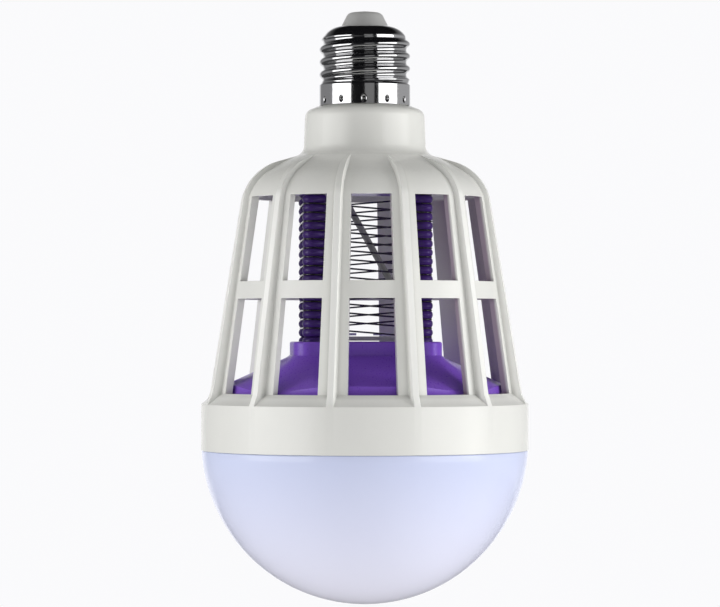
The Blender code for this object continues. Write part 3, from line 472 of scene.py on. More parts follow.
def thread_wave(turn):
    """1 on the crest and -1 in the root, in two arcs that meet halfway down the flank."""
    quarter = THREAD_PITCH / 4.0
    arc = (quarter * quarter + THREAD_DEPTH * THREAD_DEPTH / 4.0) / THREAD_DEPTH
    away = abs((turn + 0.5) % 1.0 - 0.5) * THREAD_PITCH
    side = 1.0 if away < quarter else -1.0
    along = away if side > 0.0 else 2.0 * quarter - away
    rise = math.sqrt(arc * arc - along * along) - math.sqrt(arc * arc - quarter * quarter)
    return side * rise / (THREAD_DEPTH / 2.0)


def thread_push(angle, height):
    """How far the rolled thread moves the sheet out; it fades over half a pitch at each end."""
    fade = ease(min(THREAD_TOP - height, height - THREAD_BOTTOM), 0.0, THREAD_PITCH / 2.0)
    turn = angle / math.tau - (height + THREAD_PHASE - THREAD_TOP) / THREAD_PITCH
    return fade * THREAD_DEPTH / 2.0 * thread_wave(turn)


def crimp_push(angle, height):
    """How far a dent of the skirt moves the sheet in."""
    pitch = math.tau / CRIMP_COUNT
    nearest = (angle - CRIMP_TURN + pitch / 2.0) % pitch - pitch / 2.0
    across = nearest * THREAD_RADIUS / CRIMP_HALF_WIDTH
    along = (height - CRIMP_HEIGHT) / CRIMP_HALF_HEIGHT
    part = min(1.0, math.hypot(across, along))
    return -CRIMP_DEPTH * (0.5 + 0.5 * math.cos(math.pi * part))


def shell_outline(inset, thread_rows, skirt_rows):
    """The shell from lip to skirt edge, with rows of points where the sheet is pushed."""
    middle = THREAD_RADIUS - THREAD_DEPTH / 2.0 - inset
    skirt = THREAD_RADIUS - inset
    points = rounded([(LIP_RADIUS, LIP_TOP - inset, 0.0, 0),
                      (middle, LIP_TOP - inset, SHELL_SHOULDER - inset, SHOULDER_STEPS),
                      (middle, THREAD_BOTTOM, 0.0, 0)])[:-1]
    arc_end = LIP_TOP - SHELL_SHOULDER
    rows = round((arc_end - THREAD_BOTTOM) / THREAD_PITCH * thread_rows)
    for row in range(1, rows):
        points.append(Vector((middle, arc_end + (THREAD_BOTTOM - arc_end) * row / rows)))
    skirt_top = THREAD_BOTTOM - SHELL_SHEET
    for row in range(skirt_rows + 1):
        points.append(Vector((skirt, skirt_top + (SHELL_LOW.z - skirt_top) * row / skirt_rows)))
    return points


outer = shell_outline(0.0, ROWS_PER_PITCH, SKIRT_ROWS)
hidden = shell_outline(SHELL_SHEET, ROWS_PER_PITCH // 2, SKIRT_ROWS // 2)
shell_shape = turned(outer + hidden[::-1] + outer[:1], SHELL_SEGMENTS)
for point in shell_shape.verts:
    radius = math.hypot(point.co.x, point.co.y)
    angle = math.atan2(point.co.y, point.co.x)
    moved = radius + thread_push(angle, point.co.z) + crimp_push(angle, point.co.z)
    point.co.x *= moved / radius
    point.co.y *= moved / radius
finish_piece("rolled_shell", shell_shape, "plated_cap", "screw_shell", crease=50.0)

# %% [markdown]
# ## The insulator and its contact
# A grey moulded cone fills the cap's mouth and keeps the centre contact away from the shell. The
# contact is a rivet of solder-coated brass. Both are turned forms, drawn with rounded edges and
# spun in one step each.

# %% Insulator and contact
CONTACT_LOW, CONTACT_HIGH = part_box("centre_contact")
INSULATOR_LOW, INSULATOR_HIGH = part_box("cap_insulator")
CONTACT_RADIUS = CONTACT_HIGH.x
CONTACT_ROUND = 0.00025
HEAD_FOOT = -0.0006
SHANK_RADIUS = 0.0010
FIT = 0.0003
NOSE_RADIUS = 0.0048
NOSE_ROUND = 0.0020
CONE_FOOT = 0.00685
CONE_SEAT = -0.00495
RECESS_FLOOR = -0.0009

contact_outline = rounded([
    (0.0, 0.0, 0.0, 0), (CONTACT_RADIUS, 0.0, CONTACT_ROUND, 4),
    (CONTACT_RADIUS, HEAD_FOOT, 0.0, 0), (SHANK_RADIUS, HEAD_FOOT, 0.0, 0),
    (SHANK_RADIUS, CONTACT_LOW.z, 0.0, 0), (0.0, CONTACT_LOW.z, 0.0, 0)])
finish_piece("contact_rivet", turned(contact_outline, 48), "tinned_contact", "centre_contact",
             crease=40.0)

recess = CONTACT_RADIUS + FIT
bore = SHANK_RADIUS + FIT
insulator_outline = rounded([
    (bore, RECESS_FLOOR, 0.0, 0), (recess, RECESS_FLOOR, 0.0, 0),
    (recess, INSULATOR_HIGH.z, 0.0001, 3), (NOSE_RADIUS, INSULATOR_HIGH.z, NOSE_ROUND, 8),
    (CONE_FOOT, LIP_TOP, 0.0002, 3), (CONE_FOOT, CONE_SEAT, 0.0, 0),
    (INSULATOR_HIGH.x, CONE_SEAT, 0.0, 0), (INSULATOR_HIGH.x, INSULATOR_LOW.z, 0.0, 0),
    (bore, INSULATOR_LOW.z, 0.0, 0), (bore, RECESS_FLOOR, 0.0, 0)])
finish_piece("insulator_cone", turned(insulator_outline, 96), "grey_insulator", "cap_insulator",
             crease=40.0)

# %% [markdown]
# ## The cage moulding
# Neck, shoulder, twelve fins, two rows of windows and the ring are one moulding without a seam. So
# the wall is spun as one skin, its columns of points are gathered into fins and bars, the faces
# of the windows are left out, and one extrusion inwards gives the whole skin its wall. A bevel
# rounds what is sharp. Each column knows what it is by a number that is kept on its points.

# %% Cage outline
RING_LOW, RING_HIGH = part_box("cage_housing")
RING_RADIUS = RING_HIGH.x
WALL = 0.0022
SPIGOT_RADIUS = 0.0124
SPIGOT_WALL = 0.0018
MOUTH_RADIUS = 0.0136
MOUTH_HEIGHT = SHELL_LOW.z - FIT
SPIGOT_LENGTH = 0.0050
NECK_RADIUS = 0.0173
NECK_DRAFT = 0.0005
NECK_TOP = MOUTH_HEIGHT - 0.0014
NECK_ROUND = 0.0026
NECK_BOTTOM = MOUTH_HEIGHT - 0.0136
NECK_FILLET = 0.0032
SHOULDER_SLOPE = math.radians(16.0)
SHOULDER_ROUND = 0.0150
SLOPE_STEPS = 8
ARC_STEPS = 12
ROUND_STEPS = 7
CAGE_TAPER = math.radians(9.3)
CAGE_TOP_RADIUS = 0.0368
WINDOW_HEIGHTS = (-0.0540, -0.0783, -0.0833, -0.1104)
LINTEL_HEIGHT = 0.0012
RING_TOP = -0.1136
FIN_START = 0.0203
FIN_FULL = 0.0300
FIN_TOP_HEIGHT = 0.0014
FIN_FOOT_HEIGHT = 0.0026


def fin_height(radius, height):
    """How far the fins stand out: nothing at the neck, and more towards the ring."""
    down = (WINDOW_HEIGHTS[0] - height) / (WINDOW_HEIGHTS[0] - WINDOW_HEIGHTS[3])
    full = FIN_TOP_HEIGHT + (FIN_FOOT_HEIGHT - FIN_TOP_HEIGHT) * max(0.0, down)
    return full * ease(radius, FIN_START, FIN_FULL)


def cage_radius(height, inset):
    """Radius of the tapered cage, measured inwards from the fins' crests."""
    return (CAGE_TOP_RADIUS + (WINDOW_HEIGHTS[0] - height) * math.tan(CAGE_TAPER)
            - inset / math.cos(CAGE_TAPER))


def slope_point(radius, inset):
    """A point of the shoulder's straight slope, for a skin that lies under the crests."""
    fall = (radius - NECK_RADIUS) * math.tan(SHOULDER_SLOPE)
    return Vector((radius, NECK_BOTTOM - fall - inset / math.cos(SHOULDER_SLOPE)))


def shoulder_centre():
    """Centre of the arc that rounds the slope into the taper."""
    slope = math.tan(SHOULDER_SLOPE)
    drop = SHOULDER_ROUND / math.cos(SHOULDER_SLOPE)
    start = cage_radius(0.0, SHOULDER_ROUND)
    height = ((NECK_BOTTOM - drop - slope * (start - NECK_RADIUS))
              / (1.0 - slope * math.tan(CAGE_TAPER)))
    return Vector((start - height * math.tan(CAGE_TAPER), height))


# %% [markdown]
# ## The skins of the cage
# The moulding has three skins: the crests of the fins, the plain face between them and the inside
# of the wall. They share one centre for the shoulder's arc, and each lies further in than the one
# before. The fins rise out of the face slowly, so the face leaves the crests' line in a smooth
# step. Every skin has the same number of stations, which lets one mesh be moved to any of them.

# %% Cage skins
def slope_and_arc(centre, sunk, wall):
    """The shoulder, from the fins' start to the lintel over the windows."""
    first = math.pi / 2.0 - SHOULDER_SLOPE
    arc_start = centre.x + SHOULDER_ROUND * math.cos(first)
    points = []
    for step in range(1, SLOPE_STEPS):
        radius = FIN_START + (arc_start - FIN_START) * step / SLOPE_STEPS
        height = slope_point(radius, 0.0).y
        points.append(slope_point(radius, wall + sunk * fin_height(radius, height)))
    final = SHOULDER_ROUND - wall - sunk * FIN_TOP_HEIGHT
    last = max(CAGE_TAPER, math.asin((WINDOW_HEIGHTS[0] + LINTEL_HEIGHT - centre.y) / final))
    for step in range(ARC_STEPS + 1):
        angle = first + (last - first) * step / ARC_STEPS
        outward = Vector((math.cos(angle), math.sin(angle)))
        crest = centre + outward * SHOULDER_ROUND
        points.append(crest - outward * (wall + sunk * fin_height(*crest)))
    return points


def skin_radius(centre, height, inset):
    """Radius of a skin beside the windows, on the shoulder's arc or on the taper below it."""
    rise = height - centre.y
    arc = SHOULDER_ROUND - inset
    if rise > arc * math.sin(CAGE_TAPER):
        return centre.x + math.sqrt(arc * arc - rise * rise)
    return cage_radius(height, inset)


def cage_skin(sunk, wall):
    """A skin from spigot to ring: the crests, or sunk by the fins' height, or inside the wall."""
    spigot = SPIGOT_RADIUS - (SPIGOT_WALL if wall else 0.0)
    neck = NECK_RADIUS - wall
    centre = shoulder_centre()
    points = rounded([
        (spigot, MOUTH_HEIGHT + SPIGOT_LENGTH, 0.0, 0), (spigot, MOUTH_HEIGHT - wall, 0.0, 0),
        (MOUTH_RADIUS - wall, MOUTH_HEIGHT - wall, 0.0, 0),
        (neck, NECK_TOP - wall, NECK_ROUND - wall, ROUND_STEPS),
        (*slope_point(neck + NECK_DRAFT, wall), NECK_FILLET + wall, ROUND_STEPS),
        (*slope_point(FIN_START, wall), 0.0, 0)])
    points += slope_and_arc(centre, sunk, wall)
    for height in WINDOW_HEIGHTS:
        inset = wall + sunk * fin_height(RING_RADIUS, height)
        points.append(Vector((skin_radius(centre, height, inset), height)))
    points += [Vector((RING_RADIUS - wall, RING_TOP - wall / 2.0)),
               Vector((RING_RADIUS - wall, RING_LOW.z))]
    return points


crest_skin = cage_skin(0.0, 0.0)
face_skin = cage_skin(1.0, 0.0)
inner_skin = cage_skin(1.0, WALL)
TOP_STATION = len(face_skin) - 6
SILL_STATION = len(face_skin) - 3
print("stations of each skin:", len(face_skin), "- fin height at the sill, mm:",
      round((crest_skin[SILL_STATION] - face_skin[SILL_STATION]).length * 1000, 2))

# %% [markdown]
# ## Gathering the columns
# A sector of the cage reaches from the middle of one window to the middle of the next, with a fin
# between. Its columns are: some across the window, the edges of the bar, and the foot and crest
# on both sides of the fin. Windows keep their angle and widen downwards with the cage, while the
# fin's columns keep their distance from its middle, so the fin stays as wide as it is. Only up
# the shoulder do they draw together, because the fins end there in narrow points.

# %% Cage moulding
WINDOW_COUNT = 12
BAR_ANGLE = 5.6
WINDOW_STEPS = (15.0, 11.8, 8.7)
FIN_CREST_WIDTH = 0.0018
FIN_FOOT_WIDTH = 0.0026
FIN_TIP_SHARE = 0.45
EDGE_ROUND = 0.00030
columns = [("window", -angle) for angle in WINDOW_STEPS]
columns += [("wall", -BAR_ANGLE), ("foot", -FIN_FOOT_WIDTH / 2.0), ("crest", -FIN_CREST_WIDTH / 2.0),
            ("crest", FIN_CREST_WIDTH / 2.0), ("foot", FIN_FOOT_WIDTH / 2.0), ("wall", BAR_ANGLE)]
columns += [("window", angle) for angle in WINDOW_STEPS[:0:-1]]
total = WINDOW_COUNT * len(columns)


def column_place(kind, value, point, fin_angle):
    """Where a column stands: a fin's by its distance from the fin's middle, others by angle."""
    radius, height = point
    if kind in ("foot", "crest"):
        share = FIN_TIP_SHARE + (1.0 - FIN_TIP_SHARE) * ease(radius, FIN_START, FIN_FULL)
        angle = fin_angle + math.asin(value * share / max(radius, NECK_RADIUS))
    else:
        angle = fin_angle + math.radians(value)
    return Vector((radius * math.cos(angle), radius * math.sin(angle), height))


cage = bmesh.new()
station_of, column_of, inner_of = (cage.verts.layers.int.new(name)
                                   for name in ("station", "column", "inner"))
spin_outline(cage, face_skin, total, station_of)
for point in cage.verts:
    angle = math.atan2(point.co.y, point.co.x) % math.tau
    point[column_of] = round(angle / math.tau * total) % total
window_rows = (TOP_STATION, TOP_STATION + 2)
openings = []
for panel in cage.faces:
    row = min(point[station_of] for point in panel.verts)
    kinds = {columns[point[column_of] % len(columns)][0] for point in panel.verts}
    if row in window_rows and kinds <= {"window", "wall"}:
        openings.append(panel)
bmesh.ops.delete(cage, geom=openings, context="FACES")
made = bmesh.ops.extrude_face_region(cage, geom=cage.faces[:])
for item in made["geom"]:
    if isinstance(item, bmesh.types.BMVert):
        item[inner_of] = 1
for point in cage.verts:
    sector, column = divmod(point[column_of], len(columns))
    kind, value = columns[column]
    skin = inner_skin if point[inner_of] else (crest_skin if kind == "crest" else face_skin)
    fin_angle = math.tau * (sector + 0.5) / WINDOW_COUNT
    point.co = column_place(kind, value, skin[point[station_of]], fin_angle)
cage_piece = finish_piece("cage_moulding", cage, "warm_white_plastic", "cage_housing")
bevel = cage_piece.modifiers.new("soft_edges", "BEVEL")
bevel.width = EDGE_ROUND
bevel.segments = 3
bevel.limit_method = "ANGLE"
bevel.angle_limit = math.radians(30.0)
bevel.harden_normals = True

# %% [markdown]
# ## Painted shade inside the cage and painted highlights on its fins
# The inner side of the wall and the sides of the windows face the violet parts. They get painted
# shade, tinted violet like light bounced off those parts, more to the right and least at the back.
# A mask compares a point's distance from the axis with the radius of the face at the same height.
# So it finds the inner side by itself, and other masks end it above and below the windows. The same
# comparison finds the crests of the fins, which get a painted highlight: a paler tone.

# %% Cage tones
# Painted shade for the inner side, tinted violet like light bounced off the violet parts.
INSIDE_PAINTED_SHADE = (0.46, 0.37, 0.48)
# Painted highlight: the paler tone of the fins' crests.
CREST_PAINTED_HIGHLIGHT = (0.95, 0.95, 0.915)
INSIDE_DEPTHS = (0.0003, 0.0010)
CREST_DEPTHS = (-0.0018, -0.0008)
PAINTED_SHADE_FADE = 0.0010
PAINTED_SHADE_ACROSS = (-0.010, 0.022)
PAINTED_SHADE_BACK = (0.022, 0.031)


def add_cage_painted_light(material):
    """Puts the crests' painted highlight and the inner side's painted shade before the base colour.
    """
    tree = material.node_tree
    base = tree.nodes["Principled BSDF"].inputs["Base Color"]
    place, (across, back, height) = find_place(tree)
    top, foot = WINDOW_HEIGHTS[0], WINDOW_HEIGHTS[3]
    face = spread(tree, height, face_skin[SILL_STATION].x, face_skin[TOP_STATION].x, foot, top)
    depth = combine(tree, "SUBTRACT", face, axis_distance(tree, place))
    # Painted highlight: the fins' crests get a paler tone.
    crest = combine(tree, "MULTIPLY", spread(tree, depth, 1.0, 0.0, *CREST_DEPTHS),
                    spread(tree, height, 0.0, 1.0, RING_TOP, foot))
    outside = mix_colours(tree, crest, base.links[0].from_socket, CREST_PAINTED_HIGHLIGHT)
    # Painted shade on the inner side and the windows' sides, tinted violet, more to the right.
    inside = spread(tree, depth, 0.0, 1.0, *INSIDE_DEPTHS)
    for mask in (spread(tree, height, 1.0, 0.0, top, top + PAINTED_SHADE_FADE),
                 spread(tree, height, 0.0, 1.0, foot - PAINTED_SHADE_FADE, foot),
                 spread(tree, across, 0.0, 1.0, *PAINTED_SHADE_ACROSS),
                 spread(tree, back, 1.0, 0.0, *PAINTED_SHADE_BACK)):
        inside = combine(tree, "MULTIPLY", inside, mask)
    shaded_inside = add_node(tree, "ShaderNodeVectorMath", {0: outside, 1: INSIDE_PAINTED_SHADE},
                      operation="MULTIPLY")
    tree.links.new(mix_colours(tree, inside, outside, shaded_inside.outputs[0]), base)


add_cage_painted_light(FINISHES["warm_white_plastic"])
print("radius of the face over and under the windows, mm:",
      [round(face_skin[station].x * 1000, 1) for station in (TOP_STATION, SILL_STATION)])

# %% [markdown]
# ## The opal dome
# The dome is a little more than half a sphere, with a thin lip that snaps into the ring. One
# outline holds the inner skin, the lip, the edge and the outer skin, and is spun as a whole.

# %% Opal dome
DOME_LOW, DOME_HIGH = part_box("diffuser_dome")
DOME_RADIUS = DOME_HIGH.x
DOME_CENTRE = DOME_LOW.z + DOME_RADIUS
DOME_WALL = 0.0016
RIM_GAP = 0.0001
RIM = RING_LOW.z - RIM_GAP
LIP_OUTER = RING_RADIUS - WALL - FIT
LIP_INNER = LIP_OUTER - DOME_WALL
RIM_ROUND = 0.0004
RIM_CUT = 0.3 * RIM_ROUND
DOME_STEPS = 40


def dome_arc(radius, first):
    """Half of a dome, from an angle below its centre's level down to the middle."""
    turn = (math.pi / 2.0 - first) / DOME_STEPS
    angles = [first + turn * step for step in range(DOME_STEPS)]
    return [(radius * math.cos(angle), DOME_CENTRE - radius * math.sin(angle))
            for angle in angles] + [(0.0, DOME_CENTRE - radius)]


hollow = DOME_RADIUS - DOME_WALL
inside = dome_arc(hollow, math.acos(LIP_INNER / hollow))
outside = dome_arc(DOME_RADIUS, math.asin((DOME_CENTRE - RIM + RIM_ROUND) / DOME_RADIUS))
rim_radius = math.sqrt(DOME_RADIUS ** 2 - (DOME_CENTRE - RIM) ** 2)
lip = [(LIP_INNER, DOME_HIGH.z), (LIP_OUTER, DOME_HIGH.z), (LIP_OUTER, RIM)]
edge = [(rim_radius - RIM_ROUND, RIM), (rim_radius - RIM_CUT, RIM - RIM_CUT)]
dome_outline = inside[::-1] + lip + edge + outside
finish_piece("opal_dome", turned(dome_outline, 144), "opal_diffuser", "diffuser_dome", crease=50.0)

# %% [markdown]
# ## The ribbed posts
# Four posts hold the wires apart. Each is a bar with rounded ribs, so that a turn of wire rests
# in every groove. The outline repeats one rib, an arc from groove to groove, and is spun about
# the post's own axis. All four posts are alike, because the wires fall by a whole rib at the
# front and at the back and stay level at the sides.

# %% Ribbed posts
POST_OFFSET = 0.0151
POST_RADIUS = 0.0036
GROOVE_DEPTH = 0.0008
GRID_PITCH = 0.00254
GROOVE_COUNT = 17
GRID_MARGIN = 0.0007
RIB_STEPS = 8
RIB_FULLNESS = 0.6
POST_PLACES = [(POST_OFFSET, -POST_OFFSET), (POST_OFFSET, POST_OFFSET),
               (-POST_OFFSET, POST_OFFSET), (-POST_OFFSET, -POST_OFFSET)]
POST_LOW, POST_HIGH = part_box("grid_post_1")
GRID_TOP = POST_HIGH.z - GRID_MARGIN


def post_outline():
    """A post's outline, with ribs that are round between sharp grooves."""
    points = [(0.0, POST_HIGH.z + FIT), (POST_RADIUS, POST_HIGH.z + FIT)]
    for row in range(GROOVE_COUNT):
        groove = GRID_TOP - GRID_PITCH * row
        for step in range(RIB_STEPS):
            bulge = math.sin(math.pi * step / RIB_STEPS) ** RIB_FULLNESS
            height = groove - GRID_PITCH * step / RIB_STEPS
            if height > POST_LOW.z:
                points.append((POST_RADIUS - GROOVE_DEPTH * (1.0 - bulge), height))
    foot = POST_LOW.z - FIT
    return points + [(points[-1][0], foot), (0.0, foot)]


for index, place in enumerate(POST_PLACES):
    # The posts take the darker copy of the violet plastic, which is painted shade.
    finish_piece(f"ribbed_post_{index + 1}", turned(post_outline(), 32, place), "violet_plastic",
                 f"grid_post_{index + 1}", crease=60.0, finish="violet_plastic_painted_shade")

# %% [markdown]
# ## The wound wires
# Two wires run round the posts like a two-start thread. An insect that touches both closes the
# circuit. Each wire is a curve with a round section: it bends round a post in its groove, then
# runs straight to the next post. A curve keeps the section true through every bend, and it becomes
# a mesh at the end. The return wire starts a groove lower and ends before the last turn.

# %% Wound wires
WIRE_DIAMETER = 0.0005
WIRE_GAP = 0.0001
BEND_STEPS = 6
LIVE_BENDS = 2 * GROOVE_COUNT - 1
RETURN_BENDS = LIVE_BENDS - 4


def winding(first_groove, bends):
    """A route round the posts: level in the grooves, one groove lower across front and back."""
    half_bend = math.pi / 4.0
    reach = POST_RADIUS - GROOVE_DEPTH + WIRE_GAP + WIRE_DIAMETER / 2.0
    route = []
    for bend in range(bends):
        x, y = POST_PLACES[bend % 4]
        height = GRID_TOP - GRID_PITCH * (first_groove + bend // 2)
        outward = math.atan2(y, x)
        for step in range(BEND_STEPS + 1):
            angle = outward - half_bend + 2.0 * half_bend * step / BEND_STEPS
            route.append((x + reach * math.cos(angle), y + reach * math.sin(angle), height))
    return route


def swept(name, route, diameter, slot, node, sides=4):
    """A round bar along a route, made a mesh, in place of a node."""
    curve = bpy.data.curves.new(name, "CURVE")
    curve.dimensions = "3D"
    curve.bevel_depth = diameter / 2.0
    curve.bevel_resolution = sides
    curve.use_fill_caps = True
    line = curve.splines.new("POLY")
    line.points.add(len(route) - 1)
    for point, place in zip(line.points, route):
        point.co = (*place, 1.0)
    helper = place_object(name, curve)
    mesh = bpy.data.meshes.new_from_object(
        helper.evaluated_get(bpy.context.evaluated_depsgraph_get()))
    bpy.data.objects.remove(helper)
    shape = bmesh.new()
    shape.from_mesh(mesh)
    bmesh.ops.remove_doubles(shape, verts=shape.verts, dist=MERGE)
    return finish_piece(name, shape, slot, node, crease=50.0)


swept("live_wire", winding(0, LIVE_BENDS), WIRE_DIAMETER, "dark_steel_wire", "grid_wire_live",
      sides=2)
swept("return_wire", winding(1, RETURN_BENDS), WIRE_DIAMETER, "dark_steel_wire",
      "grid_wire_return", sides=2)

# %% [markdown]
# ## The sleeved lead
# One sleeved lead crosses the middle of the grid from the neck down to the deck. It is stiff and
# held at both ends, so it stays nearly straight and only bends where it leaves its holes.

# %% Sleeved lead
LEAD_LOW, LEAD_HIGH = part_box("feed_lead")
LEAD_DIAMETER = 0.0019
STUB_LENGTH = 0.0018
BEND_REACH = 0.0015
lead_top = Vector((LEAD_LOW.x + LEAD_DIAMETER / 2.0, 0.0, LEAD_HIGH.z))
lead_foot = Vector((LEAD_HIGH.x - LEAD_DIAMETER / 2.0, 0.0, LEAD_LOW.z))
stub = Vector((0.0, 0.0, STUB_LENGTH))
bend = [lead_top, lead_top - stub, lead_foot + stub, lead_foot]
lead_route = [lead_top]
for before, corner, after in zip(bend, bend[1:], bend[2:]):
    into = corner + (before - corner).normalized() * BEND_REACH
    out_of = corner + (after - corner).normalized() * BEND_REACH
    for step in range(BEND_STEPS + 1):
        part = step / BEND_STEPS
        lead_route.append(into.lerp(corner, part).lerp(corner.lerp(out_of, part), part))
lead_route.append(lead_foot)
swept("sleeved_lead", lead_route, LEAD_DIAMETER, "grey_lead_sleeve", "feed_lead")

# %% [markdown]
# ## The deck
# The deck closes the cage below the grid. A square block with round corners carries the posts,
# and from its foot a skirt slopes out to a round seat in the housing. Its four faces meet in
# hollow valleys under the corners. The form is drawn as closed loops, one above the other, each
# with its own radius and height round the axis, and extruded from loop to loop.

# %% Deck
def inner_radius(height):
    """Radius of the cage's inner wall at a height."""
    return cage_radius(height, fin_height(RING_RADIUS, height) + WALL)


DECK_LOW, DECK_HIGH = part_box("insect_deck")
DECK_SEGMENTS = 240
DECK_HALF_WIDTH = 0.0213
DECK_CORNER = 0.0060
DECK_EDGE = 0.0006
EDGE_STEPS = 4
FASCIA_HEIGHT = 0.0041
FASCIA_FOOT = 0.0002
SKIRT_FALL = 0.0083
VALLEY_DEPTH = 0.0026
VALLEY_HALF_ANGLE = math.radians(28.0)
VALLEY_CURVE = 1.3
SKIRT_CURVE = 1.05
SKIRT_STEPS = 8
DECK_GAP = 0.0006
DECK_WALL = 0.0018
FASCIA_BOTTOM = DECK_HIGH.z - FASCIA_HEIGHT
SKIRT_RADIUS = inner_radius(FASCIA_BOTTOM - SKIRT_FALL) - DECK_GAP
SEAT_TOP = -0.1107
SEAT_BOTTOM = -0.1150
deck_angles = [math.tau * step / DECK_SEGMENTS for step in range(DECK_SEGMENTS)]


def rounded_square(half_width, corner, angle):
    """Radius of a square with rounded corners, at an angle about the axis."""
    fold = (angle + math.pi / 4.0) % (math.pi / 2.0) - math.pi / 4.0
    straight = half_width - corner
    if math.tan(abs(fold)) * half_width <= straight:
        return half_width / math.cos(fold)
    reach = straight * (math.cos(fold) + math.sin(abs(fold)))
    return reach + math.sqrt(reach * reach - 2.0 * straight * straight + corner * corner)


def extruded_loops(loops):
    """Extrudes a closed loop of points from each loop to the next and caps both ends."""
    shape = bmesh.new()
    place = shape.verts.layers.int.new("place")
    points = [shape.verts.new(spot) for spot in loops[0]]
    for index, point in enumerate(points):
        point[place] = index
    first = [shape.edges.new(pair) for pair in zip(points, points[1:] + points[:1])]
    edges = first
    for loop in loops[1:]:
        made = bmesh.ops.extrude_edge_only(shape, edges=edges)["geom"]
        points = {item for item in made if isinstance(item, bmesh.types.BMVert)}
        for point in points:
            point.co = loop[point[place]]
        edges = [item for item in made
                 if isinstance(item, bmesh.types.BMEdge) and points.issuperset(item.verts)]
    bmesh.ops.holes_fill(shape, edges=first + edges)
    return shape


def deck_loop(radius_of, height_of):
    """A closed loop round the axis, from a radius and a height at each angle."""
    return [(radius_of(a) * math.cos(a), radius_of(a) * math.sin(a), height_of(a))
            for a in deck_angles]


def block_loop(inset, height):
    return deck_loop(lambda a: rounded_square(DECK_HALF_WIDTH - inset, DECK_CORNER - inset, a),
                     lambda a: height)


def skirt_loop(part, inset):
    """A loop of the skirt, from the block's foot at 0 to the round seat at 1."""

    def radius_of(angle):
        square = rounded_square(DECK_HALF_WIDTH, DECK_CORNER, angle)
        return square + (SKIRT_RADIUS - square) * part - inset

    def height_of(angle):
        from_corner = abs(angle % (math.pi / 2.0) - math.pi / 4.0)
        valley = max(0.0, 1.0 - from_corner / VALLEY_HALF_ANGLE) ** VALLEY_CURVE
        fall = (SKIRT_FALL + VALLEY_DEPTH * valley) * part ** SKIRT_CURVE
        return FASCIA_BOTTOM - fall - inset

    return deck_loop(radius_of, height_of)


def round_loop(radius, height):
    return deck_loop(lambda a: radius, lambda a: height)


seat_radius = inner_radius(WINDOW_HEIGHTS[3]) - DECK_GAP
bore = RING_RADIUS - WALL - FIT
skirt_parts = [step / SKIRT_STEPS for step in range(1, SKIRT_STEPS + 1)]
deck_loops = [block_loop(DECK_EDGE, DECK_HIGH.z)]
for step in range(1, EDGE_STEPS + 1):
    turn = math.pi / 2.0 * step / EDGE_STEPS
    deck_loops.append(block_loop(DECK_EDGE * (1.0 - math.sin(turn)),
                                 DECK_HIGH.z - DECK_EDGE * (1.0 - math.cos(turn))))
deck_loops += [block_loop(0.0, FASCIA_BOTTOM + FASCIA_FOOT)]
deck_loops += [skirt_loop(part, 0.0) for part in skirt_parts]
deck_loops += [round_loop(seat_radius, SEAT_TOP), round_loop(bore, SEAT_BOTTOM),
               round_loop(bore, DECK_LOW.z), round_loop(bore - DECK_WALL, DECK_LOW.z),
               round_loop(seat_radius - DECK_WALL, SEAT_TOP - DECK_WALL)]
deck_loops += [skirt_loop(part, DECK_WALL) for part in skirt_parts[3::-2]]
deck_loops += [block_loop(DECK_WALL, FASCIA_BOTTOM - DECK_WALL),
               block_loop(DECK_WALL, DECK_HIGH.z - DECK_WALL)]
finish_piece("violet_deck", extruded_loops(deck_loops), "violet_plastic", "insect_deck",
             crease=40.0)

# %% [markdown]
# ## The floor
# The lamp hangs over a pale floor, which fades into the white background so that no rim shows. A
# light path tells who looks: the camera sees the floor fade to white, and glossy parts see it
# nearly dark, or the underside of the cap would mirror a bright plain.

# %% Floor
BACKGROUND = (0.96, 0.96, 0.975, 1.0)
FLOOR_COLOUR = (0.88, 0.88, 0.89, 1.0)
FLOOR_MIRRORED = (0.06, 0.06, 0.062, 1.0)
FLOOR_HEIGHT = cad_box[0].z - 0.30
FLOOR_RADIUS = 1.6
FADE_SHARES = (0.45, 1.0)
FADE_RADII = (0.30, 1.40)


def seen_directly(tree, path):
    """1 for rays that come straight from the camera, also through clear parts."""
    return combine(tree, "MAXIMUM", path.outputs["Is Camera Ray"],
                   path.outputs["Is Transmission Ray"])


def make_floor_paint(name):
    """Pale matt paint that fades to the background's white with the distance."""
    material, tree, matt = new_material(name)
    matt.inputs["Base Color"].default_value = FLOOR_COLOUR
    matt.inputs["Roughness"].default_value = 0.8
    place = tree.nodes.new("ShaderNodeTexCoord").outputs["Object"]
    fade = spread(tree, axis_distance(tree, place), *FADE_SHARES, *FADE_RADII)
    path = tree.nodes.new("ShaderNodeLightPath")
    share = combine(tree, "MULTIPLY", fade, seen_directly(tree, path))
    white = add_node(tree, "ShaderNodeEmission", {"Color": BACKGROUND, "Strength": 1.0})
    dim = add_node(tree, "ShaderNodeEmission", {"Color": FLOOR_MIRRORED, "Strength": 1.0})
    faded = mix_shaders(tree, share, matt.outputs[0], white.outputs[0])
    shown = mix_shaders(tree, path.outputs["Is Glossy Ray"], faded, dim.outputs[0])
    tree.links.new(shown, tree.nodes["Material Output"].inputs["Surface"])
    return material


floor_shape = bmesh.new()
bmesh.ops.create_circle(floor_shape, cap_ends=True, segments=96, radius=FLOOR_RADIUS,
                        matrix=Matrix.Translation((0.0, 0.0, FLOOR_HEIGHT)))
floor = place_shape("pale_floor", floor_shape)
floor.data.materials.append(make_floor_paint("pale_floor"))
print("floor at", round(FLOOR_HEIGHT, 3))

# %% [markdown]
# ## The room
# Even room light comes from the world, and the background is white to the camera. Metal needs
# something dark to mirror. So glossy rays see a room that is dark towards the camera and at the
# ceiling, grey at the sides and white straight behind the lamp.

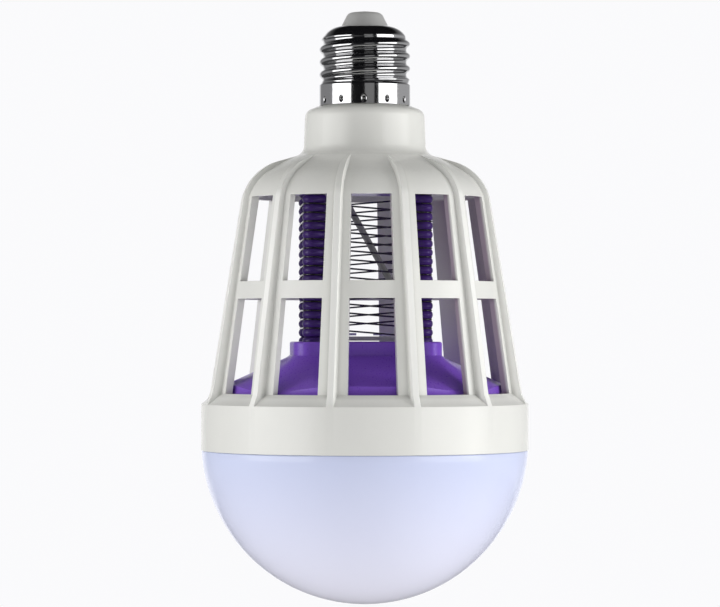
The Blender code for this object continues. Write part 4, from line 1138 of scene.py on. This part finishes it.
# %% World
ROOM_LIGHT = 0.42
ROOM_DARK = (0.004, 0.004, 0.005)
ROOM_LEFT = (0.24, 0.24, 0.245)
ROOM_RIGHT = (0.38, 0.38, 0.385)
world = bpy.data.worlds.new("studio")
bpy.context.scene.world = world
world.use_nodes = True
sky = world.node_tree
room = sky.nodes["Background"]
room.inputs["Color"].default_value = (1.0, 1.0, 1.0, 1.0)
room.inputs["Strength"].default_value = ROOM_LIGHT

direction = sky.nodes.new("ShaderNodeTexCoord").outputs["Generated"]
right, back, up = add_node(sky, "ShaderNodeSeparateXYZ", {"Vector": direction}).outputs
sides = mix_colours(sky, spread(sky, right, 0.0, 1.0, -0.50, 0.50), ROOM_LEFT, ROOM_RIGHT)
level = mix_colours(sky, spread(sky, back, 0.0, 1.0, -0.60, 0.00), ROOM_DARK, sides)
under_ceiling = mix_colours(sky, spread(sky, up, 0.0, 1.0, 0.15, 0.65), level, ROOM_DARK)
around = mix_colours(sky, spread(sky, back, 0.0, 1.0, 0.86, 0.97), under_ceiling, BACKGROUND[:3])
mirrored = add_node(sky, "ShaderNodeBackground", {"Color": around, "Strength": 1.0})
backdrop = add_node(sky, "ShaderNodeBackground", {"Color": BACKGROUND, "Strength": 1.0})
rays = sky.nodes.new("ShaderNodeLightPath")
for_gloss = mix_shaders(sky, rays.outputs["Is Glossy Ray"], room.outputs[0], mirrored.outputs[0])
for_camera = mix_shaders(sky, seen_directly(sky, rays), for_gloss, backdrop.outputs[0])
sky.links.new(for_camera, sky.nodes["World Output"].inputs["Surface"])
print("room light:", ROOM_LIGHT)

# %% [markdown]
# ## The lamps
# Two wide soft boxes stand left and right in front of the lamp and make the bright strips on the
# cap and the neck, with a dark gap between them where the camera is. A faint card fills that gap a
# little. These three act on gloss only. Three fill lamps light the sides and the underside without
# a mirror image, so that strips and shading can be set one by one.

# %% Lamps
SOFTBOX_TURN = 62.0


def add_lamp(name, turn, rise, distance, size, power):
    """A rectangular lamp that faces the object, at a turn and a rise seen from the camera."""
    lamp_data = bpy.data.lights.new(name, "AREA")
    lamp_data.shape = "RECTANGLE"
    lamp_data.size, lamp_data.size_y = size
    lamp_data.energy = power
    lamp = place_object(name, lamp_data)
    facing = Matrix.Rotation(VIEW_TURN + math.radians(turn), 4, "Z")
    tilt = Matrix.Rotation(math.radians(-rise), 4, "X")
    stand = Matrix.Translation((0.0, -distance, 0.0))
    raised = Matrix.Translation((0.0, 0.0, EYE_HEIGHT))
    lamp.matrix_world = raised @ facing @ tilt @ stand @ Matrix.Rotation(math.pi / 2.0, 4, "X")
    return lamp


for side, turn in (("left", -SOFTBOX_TURN), ("right", SOFTBOX_TURN)):
    add_lamp(f"{side}_softbox", turn, 7.0, 1.0, (1.00, 0.64), 3.7).visible_diffuse = False
add_lamp("front_card", 12.0, 6.0, 1.0, (0.42, 0.60), 0.14).visible_diffuse = False
for name, turn, rise, distance, size, power in (
        ("left_fill", -86.0, 5.0, 1.0, 0.80, 5.0), ("right_fill", 82.0, 6.0, 1.0, 0.40, 5.6),
        ("low_fill", 5.0, -30.0, 0.45, 0.30, 0.45)):
    add_lamp(name, turn, rise, distance, (size, size), power).visible_glossy = False
